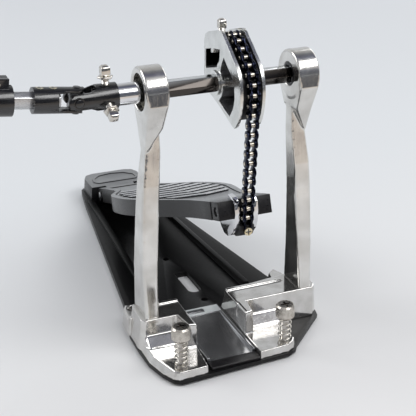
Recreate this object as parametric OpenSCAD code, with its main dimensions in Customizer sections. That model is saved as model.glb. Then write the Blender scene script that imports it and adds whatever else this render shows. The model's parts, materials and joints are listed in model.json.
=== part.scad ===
// Double bass drum pedal, slave side with its drive shaft.
// Frame in mm: +X toward the drive shaft, +Y from the heel to the drum, +Z up.
// Origin on the floor, under the middle of the axle.

/* [Frame] */
// Height of the axle's centre line above the floor (mm)
axle_height = 179; // [174:0.5:184]
// Half the gap between the uprights' inner faces (mm)
half_gap = 43.6; // [42.8:0.1:44.6]
// Outside radius of a bearing ring (mm)
ring_radius = 15.8; // [15:0.1:16.6]
// Width of a bearing ring along the axle (mm)
ring_width = 14; // [13:0.1:15]

/* [Base] */
// Thickness of the rubber mat (mm)
mat_thick = 1.5; // [1:0.1:1.9]
// Height of the plate's rolled rims above the floor (mm)
rim_height = 8.5; // [7.6:0.1:9.2]
// Height of the casting's feet above the floor (mm)
foot_height = 9.5; // [8.6:0.1:10.2]
// Height of the casting's blocks above the floor (mm)
block_height = 26; // [25:0.1:27]

/* [Axle] */
// Width across the flats of the hexagonal axle (mm)
hex_width = 10; // [9:0.1:10.4]
// Radius of the axle's round journals (mm)
journal_radius = 6.7; // [6.5:0.05:6.9]
// Thickness of each cam flange (mm)
flange_thick = 2; // [1.6:0.1:2.2]

/* [Footboard] */
// Half the footboard's greatest width (mm)
board_half = 40.5; // [37:0.5:43]
// Depth of the footboard's side walls (mm)
wall_depth = 12; // [10:0.2:13]
// Half the length of the toe bar (mm)
bar_half = 18.3; // [17:0.1:20]

/* [Spurs] */
// Radius of a spur screw's head (mm)
spur_head = 6.2; // [5.5:0.1:6.6]
// Height of the spur heads' tops above the floor (mm)
spur_top = 35.5; // [34:0.1:37]

/* [Shaft] */
// Upward tilt of the drive shaft (degrees)
shaft_tilt = 6.5; // [3:0.5:9]
// Distance between the two joints' centres (mm)
shaft_length = 200; // [190:1:215]
// Radius of the drive shaft's outer tube (mm)
tube_radius = 7.6; // [7.2:0.1:8.2]

/* [Hidden] */

H = axle_height;
CL = -2;                 // middle plane of the chain, cam and footboard
PLATE = 4;               // top of the plate's floor
RUN = 0.05;              // running fit on the radius
AXX = [0, 0, H];         // the axle's middle
SHIELD = 7.5;            // radius of the hole through an upright
PITCH = 6.35;            // pitch of the roller chain
JX = 97;                 // first joint's centre along the axle
HINGE = [-233, 14];      // heel hinge, y and z
BAR = [19, H - 78.4];    // toe bar's centre, y and z
HOOK = [19, H - 76.2];   // the chain anchor's own origin, y and z
SEAT = 0.03;             // gap round a piece that sits fast in a bore
BOARD = atan2(BAR[1] - HINGE[1], BAR[0] - HINGE[0]);
SPURS = [[48, 39.7], [-25.6, 39.7]];

module alongx(x0, len) translate([x0, 0, 0]) rotate([90, 0, 90]) linear_extrude(len) children();
module rodx(r, x0, x1, f = 40) translate([x0, 0, 0]) rotate([0, 90, 0])
  cylinder(r = r, h = x1 - x0, $fn = f);
module slab(pts, z) translate([0, 0, z]) linear_extrude(0.02) polygon(pts);
module up(r, x, y, z0, h, f = 24) translate([x, y, z0]) cylinder(r = r, h = h, $fn = f);

// Base plate and mat
FRONT = [[66, 8], [65.5, 26], [62, 41], [57.5, 51], [53, 54], [-25, 49.6], [-30.5, 47],
  [-34, 42], [-66, 11], [-67.5, 5]];
REAR = [[-66, -12], [-62, -32], [-57, -47], [-30, -240], [-26.5, -268], [-22, -273],
  [20, -273], [25, -268], [30, -240], [57, -47], [62, -32], [65.5, -12]];
CHANNEL = [[34.5, -30], [34.5, -45], [22, -239.4], [-24.4, -239.4], [-34.5, -45], [-34.5, -30]];
HEEL_SCREWS = [[CL - 13, -258], [CL + 13, -258]];

SLOT_END = -58;          // front end of the slot, along y
SKIRT = [[-57, -47], [-30, -240], [-26.5, -268], [-22, -273], [20, -273], [25, -268],
  [30, -240], [57, -47], [52, -46], [-52, -46]];
RIDGE = [[34, -46], [38.8, -46], [27.4, -238], [21.5, -238]];
MAT = [[62, 8], [61.5, 25], [58, 39], [53.5, 48.5], [51, 50], [-24, 45.8], [-31, 40], [-63, 9],
  [-63.5, 4], [-62, -12], [-58, -33], [-53, -47], [-26, -240], [-23, -267], [-20, -269.5],
  [18, -269.5], [21.5, -267], [26, -240], [53, -47], [58, -33], [62, -12]];

module plate_cuts(z0, h) {
  translate([-5, SLOT_END - 28, z0]) cube([10, 28, h]);
  up(5, 0, SLOT_END, z0, h, 32);
  up(2.6, 2, -112, z0, h);
  up(2.6, -1, -40, z0, h);
  for (s = HEEL_SCREWS) up(2.3, s[0], s[1], z0, h);
  for (s = SPURS) up(3.4, s[0], s[1], z0, h, 32);
}
module base_plate() color("#191a1c") difference() {
  union() {
    translate([0, 0, mat_thick]) linear_extrude(PLATE - mat_thick) polygon(concat(FRONT, REAR));
    translate([0, 0, PLATE - 0.5]) linear_extrude(rim_height - PLATE - 1.5) polygon(SKIRT);
    for (s = [0, 1]) mirror([s, 0, 0]) translate([0, 0, PLATE - 0.5])
      linear_extrude(rim_height - PLATE + 0.5) polygon(RIDGE);
  }
  translate([0, 0, PLATE]) linear_extrude(20) polygon(CHANNEL);
  plate_cuts(0, 12);
  for (s = HEEL_SCREWS) up(4, s[0], s[1], 0, 3.6, 32);
}
module base_mat() color("#101010") difference() {
  linear_extrude(mat_thick) polygon(MAT);
  plate_cuts(-1, 12);
  for (s = HEEL_SCREWS) up(4.4, s[0], s[1], -1, 5, 32);
}

// Casting: two blocks, each with a foot, an ear behind and a rib along its inner edge.
// The outlines of each form are listed from its bottom to its top.
STEP = foot_height - 1;
EAR = block_height - 9;  // top of the ears
DRIVE_BODY = [[[31, -17], [31, 12], [63.6, 12.4], [65.6, 8], [65.8, 4], [65.2, -14], [54, -17]],
  [[31.8, -10], [31.8, 9.5], [61.4, 9.5], [63.6, 6.5], [63.2, -12], [61.5, -15.8],
    [51, -15.8], [46, -10.6]]];
DRIVE_EAR = [[[46, -14], [66.4, -12], [65.4, -29], [61, -38], [53, -37], [44, -20]],
  [[50, -12], [66.2, -12], [65, -26], [62, -31.5], [57, -31.5], [49, -22]]];
DRIVE_FOOT = [[[31, 14], [34, 51.6], [54, 52.8], [57.4, 50], [61.4, 41], [64.9, 26], [65.2, 10]],
  [[31, 14], [34, 51], [53.6, 51.8], [56, 49], [58.5, 40], [62.2, 26], [63.2, 10]]];
DRIVE_RAMP = [[[31, 9], [31, 19.8], [61.6, 19.8], [64, 9]],
  [[31, 9], [31, 18.8], [60.4, 18.8], [63, 9]], [[31, 9], [31, 12], [60.6, 12], [62.4, 9]]];
DRIVE_RIB = [[[31, 2], [31, 26], [38.4, 25], [41.5, 2]],
  [[31.4, 3], [31.4, 25.6], [37.6, 24.6], [40.6, 3]], [[32.6, 3], [32.6, 24.8], [37, 24], [40, 3]]];
FAR_BODY = [[[-4, -19], [-4, 11], [-62, 11], [-66, 6.5], [-66.5, -10], [-62, -20]],
  [[-4, -10], [-4, 9.4], [-62.4, 9.4], [-65.4, 5.6], [-65.2, -12], [-61.5, -15.8],
    [-51, -15.8], [-46, -10.6]]];
FAR_EAR = [[[-46, -14], [-66.3, -12], [-62, -30], [-57, -45], [-50, -40], [-43, -20]],
  [[-50, -12], [-64.6, -12], [-61, -30], [-56.6, -42], [-51, -37], [-47, -20]]];
FAR_FOOT = [[[-4, 12], [-4, 49.6], [-25, 48.2], [-30, 45.5], [-33, 41.5], [-33.5, 10]],
  [[-4, 12], [-4, 49.2], [-25, 47.6], [-29, 45], [-32, 41], [-33, 10]]];
FAR_RAMP = [[[-4, 9], [-4, 19.4], [-33, 19.4], [-37, 9]],
  [[-4, 9], [-4, 18.4], [-32.6, 18.4], [-36.6, 9]], [[-4, 9], [-4, 12], [-35, 12], [-36, 9]]];
FAR_RIB = [[[-4, 2], [-4, 24.6], [-10.2, 24.2], [-13, 2]],
  [[-4.2, 3], [-4.2, 24.2], [-9.8, 23.6], [-12.4, 3]],
  [[-5.2, 3], [-5.2, 23.4], [-9.4, 23], [-11.8, 3]]];
EAR_SCREWS = [[58, -26], [-58.4, -26]];

module block(body, ear, foot, ramp, rib, lip, k) difference() {
  union() {
    hull() {
      slab(body[0], PLATE);
      slab(body[1], block_height - 0.02);
    }
    hull() {
      slab(ear[0], PLATE);
      slab(ear[1], EAR - 0.02);
    }
    hull() {
      slab(foot[0], PLATE);
      slab(foot[1], foot_height);
    }
    hull() {
      slab(ramp[0], STEP);
      slab(ramp[1], foot_height + 0.8);
      slab(ramp[2], foot_height + 5.5);
    }
    hull() {
      slab(rib[0], STEP);
      slab(rib[1], block_height - 1.2);
      slab(rib[2], block_height - 0.02);
    }
    translate([lip[0], -10, block_height - 2]) cube([lip[1] - lip[0], 3, 3.4]);
  }
  up(3 + RUN, SPURS[k][0], SPURS[k][1], 0, 40, 40);
  up(3.6, EAR_SCREWS[k][0], EAR_SCREWS[k][1], EAR - 2, 20, 32);
}
module block_drive() color("#c9cbcc")
  block(DRIVE_BODY, DRIVE_EAR, DRIVE_FOOT, DRIVE_RAMP, DRIVE_RIB, [32, 46], 0);
module block_far() color("#c9cbcc")
  block(FAR_BODY, FAR_EAR, FAR_FOOT, FAR_RAMP, FAR_RIB, [-46, -4.4], 1);
module clamp_plate() color("#d2d4d6") difference() {
  translate([-3.7, -24, PLATE]) cube([34.4, 65, foot_height - PLATE - 1.5]);
  translate([-5, -14, PLATE + 5.5]) rotate([-2.2, 0, 0]) translate([3.5, 0, -2.2]) cube([30, 70, 10]);
  translate([8, -22, PLATE + 1.6]) cube([13, 5.5, 10]);
}
module clamp_core() color("#141416") translate([-3.7, 41.2, PLATE]) cube([34.4, 8.4, 2]);
module block_screws() color("#b79b5e") for (s = EAR_SCREWS) translate([s[0], s[1], EAR - 1.97])
  difference() {
    cylinder(r = 2.8, h = 2.2, $fn = 32);
    translate([-2, -0.4, 1.4]) cube([4, 0.8, 2]);
    translate([-0.4, -2, 1.4]) cube([0.8, 4, 2]);
  }

// Uprights: a column under a bearing ring. Its sections are boxes with small corners.
function col(x, y, w, d) = [[x + 1, y], [x + w - 1, y], [x + w, y + 1], [x + w, y + d - 1],
  [x + w - 1, y + d], [x + 1, y + d], [x, y + d - 1], [x, y + 1]];
COLUMN = [[block_height, col(half_gap + 8.1, -15.3, 8.8, 24.6)],
  [60, col(half_gap + 6.9, -12.3, 10.6, 19.2)],
  [100, col(half_gap + 4.6, -9, 11.6, 14.3)],
  [H - 61, col(half_gap + 3.4, -8.3, 11.5, 13.3)],
  [H - 39, col(half_gap + 1.6, -7, 10.4, 9.8)],
  [H - 19, col(half_gap + 1.8, -7.4, 10, 8.6)]];
// The ring's neck ends in a point on the column's outer edge
NECK = [[H - 6, col(half_gap + 0.6, -12, ring_width - 1.2, 28.6)],
  [H - 22, col(half_gap + 1.7, -10.6, 11.2, 19.9)],
  [H - 38, col(half_gap + 10, -7.2, 2.2, 10.6)]];
module upright() difference() {
  union() {
    translate(AXX) rodx(ring_radius, half_gap, half_gap + ring_width, 64);
    translate(AXX) rodx(ring_radius - 1.2, half_gap - 0.6, half_gap + ring_width + 0.6, 64);
    hull() {
      intersection() {
        translate(AXX) rodx(ring_radius - 0.01, half_gap + 0.3, half_gap + ring_width - 0.3, 64);
        translate([0, -50, H - 50]) cube([100, 100, 52]);
      }
      slab(NECK[0][1], NECK[0][0]);
      slab(NECK[1][1], NECK[1][0]);
    }
    hull() {
      slab(NECK[1][1], NECK[1][0]);
      slab(NECK[2][1], NECK[2][0]);
    }
    for (i = [1:len(COLUMN) - 1]) hull() {
      slab(COLUMN[i - 1][1], COLUMN[i - 1][0]);
      slab(COLUMN[i][1], COLUMN[i][0]);
    }
  }
  translate(AXX) rodx(11.5, half_gap + 4, half_gap + 30, 64);
  translate(AXX) rodx(SHIELD, half_gap - 5, half_gap + 30, 40);
}
module upright_drive() color("#cfd1d2") upright();
module upright_far() color("#cfd1d2") mirror([1, 0, 0]) upright();
module ringx(r0, r1, x0, x1, f = 64) translate(AXX) difference() {
  rodx(r1, x0, x1, f);
  rodx(r0, x0 - 1, x1 + 1, f);
}
module bearing_outer_races() color("#8d9093") for (s = [0, 1]) mirror([s, 0, 0])
  ringx(9.7, 11.5 - SEAT, half_gap + 4.05, half_gap + 10);
module bearing_inner_races() color("#9a9da0") for (s = [0, 1]) mirror([s, 0, 0])
  ringx(journal_radius + SEAT, 8.3, half_gap + 4.4, half_gap + 9.6);
module bearing_balls() color("#b9bcbe") for (s = [-1, 1]) for (a = [0:45:315])
  translate([s * (half_gap + 7), 9 * cos(a), H + 9 * sin(a)]) sphere(r = 0.69, $fn = 14);
module bearing_shields() color("#161618") for (s = [0, 1]) mirror([s, 0, 0])
  ringx(6, SHIELD - SEAT, half_gap - 0.4, half_gap + 0.5, 40);
module retaining_ring() color("#2a2a2c")
  ringx(journal_radius + SEAT, 8.6, -half_gap - 11.2, -half_gap - 10.2, 40);

// Heel
HEEL_LOW = [[-27, -239.8], [-27, -262], [-24, -270], [-17, -272.5], [14, -272.5], [21, -270],
  [24, -263], [24, -239.8]];
HEEL_HIGH = [[-26, -239.8], [-26, -262], [-23, -269], [-16.5, -271.5], [13.5, -271.5], [20, -269],
  [23, -262.5], [23, -239.8]];
HEEL_TOP = 19;
// Outline of the plain raised loop on top
BEAD = [[-20, -246], [15, -246], [18.5, -250], [17.5, -258], [11, -265], [-2, -267.5], [-14, -265],
  [-22, -258], [-23, -250]];
module heel_plate() color("#3d4043") difference() {
  union() {
    hull() {
      slab(HEEL_LOW, rim_height - 1.98);
      slab(HEEL_HIGH, HEEL_TOP);
    }
    translate([0, 0, HEEL_TOP - 0.5]) linear_extrude(1.3) difference() {
      polygon(BEAD);
      offset(delta = -2.2) polygon(BEAD);
    }
    translate([CL, HINGE[0], HINGE[1]]) rodx(5.2, -12.6, 12.6, 40);
    translate([CL - 12.6, -241, HINGE[1] - 5.2]) cube([25.2, 8, 10.2]);
  }
  translate([0, HINGE[0], HINGE[1]]) rodx(3 + SEAT, -60, 60, 40);
  for (s = HEEL_SCREWS) up(2.1, s[0], s[1], 0, 14);
}
module heel_pin() color("#a7aaad") translate([CL, HINGE[0], HINGE[1]]) rodx(3, -20.9, 20.9, 40);
module heel_screws() color("#77797b") for (s = HEEL_SCREWS) translate([s[0], s[1], 0]) difference() {
  union() {
    up(3.6, 0, 0, 1.7, 1.8, 32);
    up(2, 0, 0, 3, 10.6);
  }
  up(1.7, 0, 0, 1, 1.7, 6);
}

// Spurs
module spur_screw(p) color("#c3c5c7") translate([p[0], p[1], 0]) difference() {
  union() {
    up(3, 0, 0, 4, spur_top - 8.4, 40);
    translate([0, 0, 1.4]) cylinder(r1 = 0.6, r2 = 3, h = 2.6, $fn = 40);
    up(spur_head, 0, 0, spur_top - 9, 8, 40);
    translate([0, 0, spur_top - 1]) cylinder(r1 = spur_head, r2 = spur_head - 0.8, h = 1, $fn = 40);
  }
  translate([-3, -0.6, spur_top - 2.5]) cube([6, 1.2, 5]);
  translate([-0.6, -3, spur_top - 2.5]) cube([1.2, 6, 5]);
}
module spur_screw_drive() spur_screw(SPURS[0]);
module spur_screw_far() spur_screw(SPURS[1]);

// A round tube along a list of points, one unbroken skin of triangles
function unit(v) = v / norm(v);
function tangent(p, i) = unit(p[min(i + 1, len(p) - 1)] - p[max(i - 1, 0)]);
SIDES = 6;
function ring(p, t, r) = let(u = unit(cross(t, [0, 0, 1])), v = cross(t, u))
  [for (k = [0:SIDES - 1]) p + r * (cos(360 * k / SIDES) * u + sin(360 * k / SIDES) * v)];
module tube(p, r) {
  n = len(p);
  last = (n - 1) * SIDES;
  pts = concat([for (i = [0:n - 1]) each ring(p[i], tangent(p, i), r)], [p[0]], [p[n - 1]]);
  quads = [for (i = [0:n - 2], k = [0:SIDES - 1]) [i * SIDES + k, i * SIDES + (k + 1) % SIDES]];
  faces = concat(
    [for (q = quads) [q[0], q[1], q[0] + SIDES]],
    [for (q = quads) [q[1], q[1] + SIDES, q[0] + SIDES]],
    [for (k = [0:SIDES - 1]) [n * SIDES, (k + 1) % SIDES, k]],
    [for (k = [0:SIDES - 1]) [n * SIDES + 1, last + k, last + (k + 1) % SIDES]]);
  polyhedron(points = pts, faces = faces, convexity = 6);
}
CURLS = 4.5;
WIRE = 0.5;              // radius of the wire
COIL = 4.0;              // radius of the coil's middle line
function coil(z0, z1) = let(n = round(CURLS * 8))
  [for (i = [0:n]) let(a = 45 * i) [COIL * cos(a), COIL * sin(a), z0 + (z1 - z0) * i / n]];
function ended(c) = let(n = len(c), d = 2 * WIRE)
  concat([c[0] - d * [0, 1, 0]], c, [c[n - 1] + d * [-sin(45 * (n - 1)), cos(45 * (n - 1)), 0]]);
module spur_spring(p) color("#c8cacc") translate([p[0], p[1], 0])
  tube(ended(coil(foot_height + WIRE + 0.05, spur_top - 9 - WIRE - 0.05)), WIRE);
module spur_spring_drive() spur_spring(SPURS[0]);
module spur_spring_far() spur_spring(SPURS[1]);
RISE = (spur_top - 9 - foot_height - 2 * WIRE - 0.1) / CURLS;
echo(spring_gap = RISE * cos(atan2(RISE, 2 * PI * COIL)) - 2 * WIRE);

// Footboard, drawn flat from the hinge: x across, y along the board, z out of its tread
module on_board() translate([CL, HINGE[0], HINGE[1]]) rotate([BOARD, 0, 0]) children();
BL = norm([BAR[0] - HINGE[0], BAR[1] - HINGE[1]]);
T = 6;                   // the tread's height over the line from the hinge to the bar
function side(h) = [[20.4, 0], [20.6, 48], [h * 0.56, 60], [h * 0.7, 74], [h * 0.87, 90],
  [h * 0.96, 106], [h, 126], [h, 142], [h * 0.94, 162], [h * 0.8, 184], [h * 0.64, 206],
  [h * 0.5, 228], [18.4, BL - 18], [18.2, BL - 6.3]];
function both(p) = concat(p, [for (i = [len(p) - 1:-1:0]) [-p[i][0], p[i][1]]]);
function shrink(p, d) = [for (q = p) [q[0] - d, q[1]]];
WALL = 3;                // thickness of the board's side walls
INNER = concat([[20.4 - WALL, 12]], [for (i = [1:12]) side(board_half)[i] - [WALL, 0]],
  [[15.2, BL - 12]]);
TREAD = [[15, 14], [15.4, 52], [board_half - 9, 90], [board_half - 4.6, 122], [board_half - 4.8, 142],
  [board_half * 0.84, 160], [board_half * 0.55, 204], [13.5, BL - 26]];
module footboard() color("#4a4d50") on_board() difference() {
  union() {
    translate([0, 0, T - 3.5]) linear_extrude(3.5) polygon(both(side(board_half)));
    translate([0, 0, T - wall_depth]) linear_extrude(wall_depth) difference() {
      polygon(both(side(board_half)));
      polygon(both(INNER));
      translate([-60, -20]) square([120, 29]);
    }
    for (s = [-1, 1]) rodx(5.2, s > 0 ? 13.2 : -20.4, s > 0 ? 20.4 : -13.2, 40);
  }
  rodx(3 + RUN, -60, 60, 40);
  translate([-13.2, -20, -30]) cube([26.4, 27, 60]);
  translate([0, 0, T - 0.9]) linear_extrude(3) polygon(both(TREAD));
}
module board_ribs() color("#a3a6a8") on_board() intersection() {
  translate([0, 0, T - 0.88]) linear_extrude(1.3) polygon(both(shrink(TREAD, 3)));
  union() for (y = [76:19:190], s = [0, 1]) mirror([s, 0, 0]) linear_extrude(2 * T)
    polygon([[0, y + 9], [60, y - 18], [60, y - 9], [0, y + 18]]);
}
module bar_box(g) on_board() translate([-0.5 - bar_half - g, BL - 6 - g, -6 - g])
  cube([2 * (bar_half + g), 12 + 2 * g, 12 + 2 * g]);
module toe_bar() color("#1b1c1e") difference() {
  bar_box(0);
  translate([CL - 4.7, BAR[0] + 1.5, BAR[1] - 20]) cube([9.4, 20, 40]);
  for (s = [-1, 1]) translate([CL - 0.5 + s * (bar_half - 3), BAR[0] + 1, BAR[1]])
    rodx(3.1, min(0, 5 * s), max(0, 5 * s), 24);
}
module toe_set_screws() color("#6d6f72") for (s = [-1, 1])
  translate([CL - 0.5 + s * (bar_half - 3), BAR[0] + 1, BAR[1]]) difference() {
    rodx(3, s > 0 ? 0.05 : -2, s > 0 ? 2 : -0.05, 24);
    rodx(1.5, s > 0 ? 1 : -3, s > 0 ? 3 : -1, 6);
  }
CHEEK = [[-2, 7.5], [4.5, 7.6], [8.4, 4.5], [9.6, -2], [9, -9], [6.5, -15], [2.5, -19.5], [-2.5, -22],
  [-8, -22], [-13, -19], [-15.5, -15], [-14, -9], [-4, -7]];
module board_room(g) on_board() translate([-60, 20, T - wall_depth - g])
  cube([120, BL - 26, 60]);
module anchor_cheeks() color("#cfd1d3") for (s = [-1, 1]) difference() {
  translate([CL + s * 4.7 - (s > 0 ? 0 : 3.3), HOOK[0], HOOK[1]]) alongx(0, 3.3) polygon(CHEEK);
  bar_box(0.05);
  board_room(0.3);
}
module anchor_core() color("#131315") difference() {
  translate([CL - 4.65, HOOK[0], HOOK[1]]) alongx(0, 9.3) polygon([[-6, -6.5], [1.2, -6.5],
    [2.4, -10.6], [10.5, -10.6], [11, -14], [8.5, -18], [3, -20.5], [-6, -19.5], [-9, -13]]);
  bar_box(0.05);
  board_room(0.3);
  at_screw() up(1.5 + SEAT, 0, 0, 3.9, 20, 20);
}
module at_screw() translate([CL, HOOK[0], HOOK[1] - 14.2]) rotate([-90, 0, 0]) children();
module chain_screw() color("#b9a77a") at_screw() difference() {
  union() {
    up(1.5, 0, 0, 4, 8, 20);
    up(2.7, 0, 0, 11.05, 1.6, 32);
  }
  translate([-2, -0.4, 12]) cube([4, 0.8, 2]);
  translate([-0.4, -2, 12]) cube([0.8, 4, 2]);
}

// Chain: pins 0 to HUNG hang down, the rest lie on the cam (y and z about the axle).
// The chain line runs straight up from the tip, round the nose and straight along the cam's flank.
TIP = [29, -81.5];
LEAN = 5.09;             // lean of the free run (degrees)
NOSE = [16.9, 1.45];
NR = 19.4;               // radius of the chain line round the nose
BEND = 54.13;            // angle round the nose at which the flank starts
FLANK = [-0.8104, 0.5859];
CREST = [-0.92, 0.39];
function nose(a) = NOSE + NR * [cos(a), sin(a)];
HANG = norm(nose(-LEAN) - TIP);
ROUND = HANG + NR * (BEND + LEAN) * PI / 180;
FLANK_LENGTH = 19.5;
HUNG = floor(HANG / PITCH) + 1;
LAST = floor((ROUND + FLANK_LENGTH) / PITCH) + 1;
function line_at(s) = s < HANG ? TIP + s * [sin(LEAN), cos(LEAN)]
  : s < ROUND ? nose(-LEAN + (s - HANG) / NR * 180 / PI) : nose(BEND) + (s - ROUND) * FLANK;
function pin(k) = k < LAST ? line_at(k * PITCH) : line_at((k - 1) * PITCH) + PITCH * CREST;
module link(k, bore = 0) {
  half = abs(k - HUNG) % 2 == 0 ? 1.6 : 2.7;
  a = pin(k);
  b = pin(k + 1);
  long = norm(b - a);
  for (x = [half, -half - 0.8]) translate([CL + x, a[0], H + a[1]])
    rotate([atan2(b[1] - a[1], b[0] - a[0]), 0, 0]) alongx(0, 0.8) difference() {
      union() {
        circle(r = 2.9, $fn = 14);
        translate([long, 0]) circle(r = 2.9, $fn = 14);
        translate([0, -2.1]) square([long, 4.2]);
      }
      if (bore > 0) translate([long, 0]) circle(r = bore, $fn = 20);
    }
}
module pinx(k, r, h, f = 12) translate([CL, pin(k)[0], H + pin(k)[1]]) rodx(r, -h, h, f);
module chain_run() color("#2b2f38") {
  for (k = [0:HUNG]) link(k, k == HUNG ? 1.35 : 0);
  for (k = [0:HUNG]) pinx(k, 1.15, 4.1, 10);
  for (k = [0:HUNG]) pinx(k, 1.65, 1.62);
  difference() {
    pinx(HUNG + 1, 1.75, 1.62, 20);
    pinx(HUNG + 1, 1.15 + RUN, 5, 20);
  }
}
module cam_chain() color("#2b2f38") {
  for (k = [HUNG + 1:LAST - 1]) link(k);
  for (k = [HUNG + 2:LAST]) pinx(k, 1.15, 4.1, 10);
  pinx(HUNG + 1, 1.15, 4.1, 20);
  for (k = [HUNG + 2:LAST]) pinx(k, 1.65, 1.62);
}

// Cam
RIM = [[-21.3, -9.2], [-8.3, -11], [6.3, -15.1], [22.7, -21], [26.4, -21.9], [28.6, -20.3],
  [31.4, -16.6], [33.6, -11.3], [34.8, -6], [35.4, -0.8], [35.2, 4], [34.3, 8.6], [33, 11.9],
  [31, 14.9], [27, 18.9], [21.9, 22.4], [16.4, 26.6], [10.6, 30.4], [8.4, 32.4], [5.2, 33.8],
  [2.7, 33.6], [-13.5, 29.3], [-19, 26.4], [-20.6, 22.4]];
CORE = [[-21.3, -9.2], [-8.3, -11], [6.3, -15.1], [20.5, -19.2], [25.4, -16.6], [28.4, -12.8],
  [30.6, -8.4], [32, -3.6], [32.44, 0.07], [32.26, 4.16], [31.04, 8.04], [28.85, 11.48],
  [26.04, 14.09], [10.9, 25], [5.5, 27.3], [3.2, 28.2], [3, 32.2], [1, 32.2], [0.6, 26.2],
  [-19, 26.2], [-20.6, 22.4]];
BED = [[25.4, -16.6], [26, -17.2], [28.9, -13.2], [31.2, -8.7], [32.6, -3.8], [33.04, 0.01],
  [32.85, 4.26], [31.58, 8.3], [29.31, 11.86], [26.4, 14.58], [11.2, 25.57], [5.74, 27.86],
  [3.4, 28.8], [3.2, 28.2], [5.5, 27.3], [10.9, 25], [26.04, 14.09], [28.85, 11.48],
  [31.04, 8.04], [32.26, 4.16], [32.44, 0.07], [32, -3.6], [30.6, -8.4], [28.4, -12.8]];
BED_HALF = 6.3;          // half the room between the cam's flanges
module cam() color("#d0d2d4") translate(AXX) difference() {
  union() {
    alongx(CL - BED_HALF - flange_thick, flange_thick) polygon(RIM);
    alongx(CL + BED_HALF, flange_thick) polygon(RIM);
    alongx(CL - BED_HALF, 2 * BED_HALF) polygon(CORE);
    rodx(7.8, CL - BED_HALF - 3.5, CL + BED_HALF + 4, 48);
  }
  alongx(CL - BED_HALF + 0.7, 40) {
    polygon([[-18.6, 5.6], [-17.4, 4.8], [-0.4, 9.6], [0.4, 11.8], [3.4, 14.6], [4.4, 22],
      [-6.3, 20.2], [-6.5, 17.4], [-9.5, 16.8], [-9.7, 19.4], [-18.6, 17]]);
    polygon([[10.2, 18.4], [23, 8.9], [24.3, 7.4], [8.4, 3.4], [6.2, 6.6], [4.9, 9.2], [7.2, 14.2]]);
    polygon([[9.2, 0.4], [26.2, 4.5], [26.8, -3], [24.8, -9.6], [19.6, -16.2], [13.6, -14.6],
      [2.4, -11.2], [6.6, -7.2], [8.6, -3.4]]);
  }
  rotate([30, 0, 0]) rodx(hex_width / sqrt(3) + SEAT, -30, 30, 6);
  up(KEY + 0.1, CL, KEY_Y, 20, 20);
}
module cam_bed() color("#0f0f10") translate(AXX) alongx(CL - BED_HALF, 2 * BED_HALF) polygon(BED);
KEY = 2.2;               // radius of a key bolt's thread
KEY_Y = -12;
module cam_key_bolt() color("#c4c6c8") translate([CL, KEY_Y, H + 26.2]) {
  up(KEY, 0, 0, -3, 9);
  up(3.6, 0, 0, 0, 1.4, 32);
  translate([-2.3, -2.3, 4.6]) cube([4.6, 4.6, 6.2]);
}

// Axle and the universal joints
module hex_axle() color("#c6c8ca") translate(AXX) {
  rotate([30, 0, 0]) rodx(hex_width / sqrt(3), -half_gap - 1, half_gap + 1, 6);
  rodx(journal_radius, half_gap + 0.6, JX - 12.2, 48);
  rodx(journal_radius, -half_gap - 12, -half_gap - 0.6, 48);
}
CROSS_PIN = 2.2;         // radius of a joint's pins
// A fork along x with its ears above and below, and the joint's centre at the origin
module fork(r, back, root, ear, slot, tip = 0) difference() {
  union() {
    rodx(r, -back, -root + 0.1, 48);
    intersection() {
      rodx(r, -root - 1, 20, 48);
      translate([0, 0, -20]) linear_extrude(40) {
        polygon([[-root - 1, -20], [-root, -20], [-root, -r * 0.85], [-root + 4.5, -ear], [0, -ear],
          [0, ear], [-root + 4.5, ear], [-root, r * 0.85], [-root, 20], [-root - 1, 20]]);
        circle(r = ear, $fn = 32);
        translate([tip, 0]) circle(r = ear * 0.74, $fn = 32);
      }
    }
  }
  translate([-root, -20, -slot]) cube([40, 40, 2 * slot]);
  up(CROSS_PIN + RUN, 0, 0, -20, 40, 32);
}
module cross_block() {
  translate([-4.3, -4.4, -5]) cube([8.6, 8.8, 10]);
  up(CROSS_PIN, 0, 0, -8.3, 16.6, 32);
  rotate([90, 0, 0]) up(CROSS_PIN, 0, 0, -8.3, 16.6, 32);
}
KEYS_AT = -18.5;         // key bolts, along x from the joint's centre
module at_keys() for (a = [0, 120]) translate([KEYS_AT, 0, 0]) rotate([-a, 0, 0]) children();
module key_bolts() at_keys() translate([0, 0, 8]) difference() {
  union() {
    up(2.4 - SEAT, 0, 0, -1, 4.8);
    up(5, 0, 0, 3.4, 1.2, 32);
    translate([-2.5, -2.5, 4.5]) cube([5, 5, 6.8]);
  }
  up(0.8, 0, 0, 10.8, 2, 12);
}
// The end yoke of each joint: ears at front and back, a round bore and two threaded holes
module end_yoke(back) difference() {
  rotate([90, 0, 0]) fork(8, back, 12, 4.9, 4.7, 2.4);
  rodx(journal_radius + SEAT, -back - 1, -11, 48);
  at_keys() up(2.4, 0, 0, journal_radius - 1, 9);
}
module axle_yoke() color("#1d1e20") translate([JX, 0, H]) end_yoke(24.8);
module axle_key_bolts() color("#c4c6c8") translate([JX, 0, H]) key_bolts();

// Drive shaft, along +x from the first joint's centre
module on_shaft() translate([JX, 0, H]) rotate([0, -shaft_tilt, 0]) children();
module near_cross() color("#242527") on_shaft() cross_block();
ROD = 9.5;               // width across the rod's flats
SET_SCREWS = [14.2, 22.2];
module shaft_yoke() color("#1d1e20") on_shaft() difference() {
  mirror([1, 0, 0]) fork(7.9, 26.5, 12, 4.3, 5.3);
  rodx(ROD / sqrt(3) + SEAT, 11, 31, 6);
  for (x = SET_SCREWS) up(2.4, x, 0, 5.4, 9);
}
module shaft_set_screws() color("#b9a77a") on_shaft() for (x = SET_SCREWS) difference() {
  up(2.4 - SEAT, x, 0, 5.6, 2.1);
  translate([x - 1.8, -0.35, 7.1]) cube([3.6, 0.7, 2]);
  translate([x - 0.35, -1.8, 7.1]) cube([0.7, 3.6, 2]);
}
module hex_rod() color("#bcbec0") on_shaft() rodx(ROD / sqrt(3), 10, 118, 6);
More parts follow.
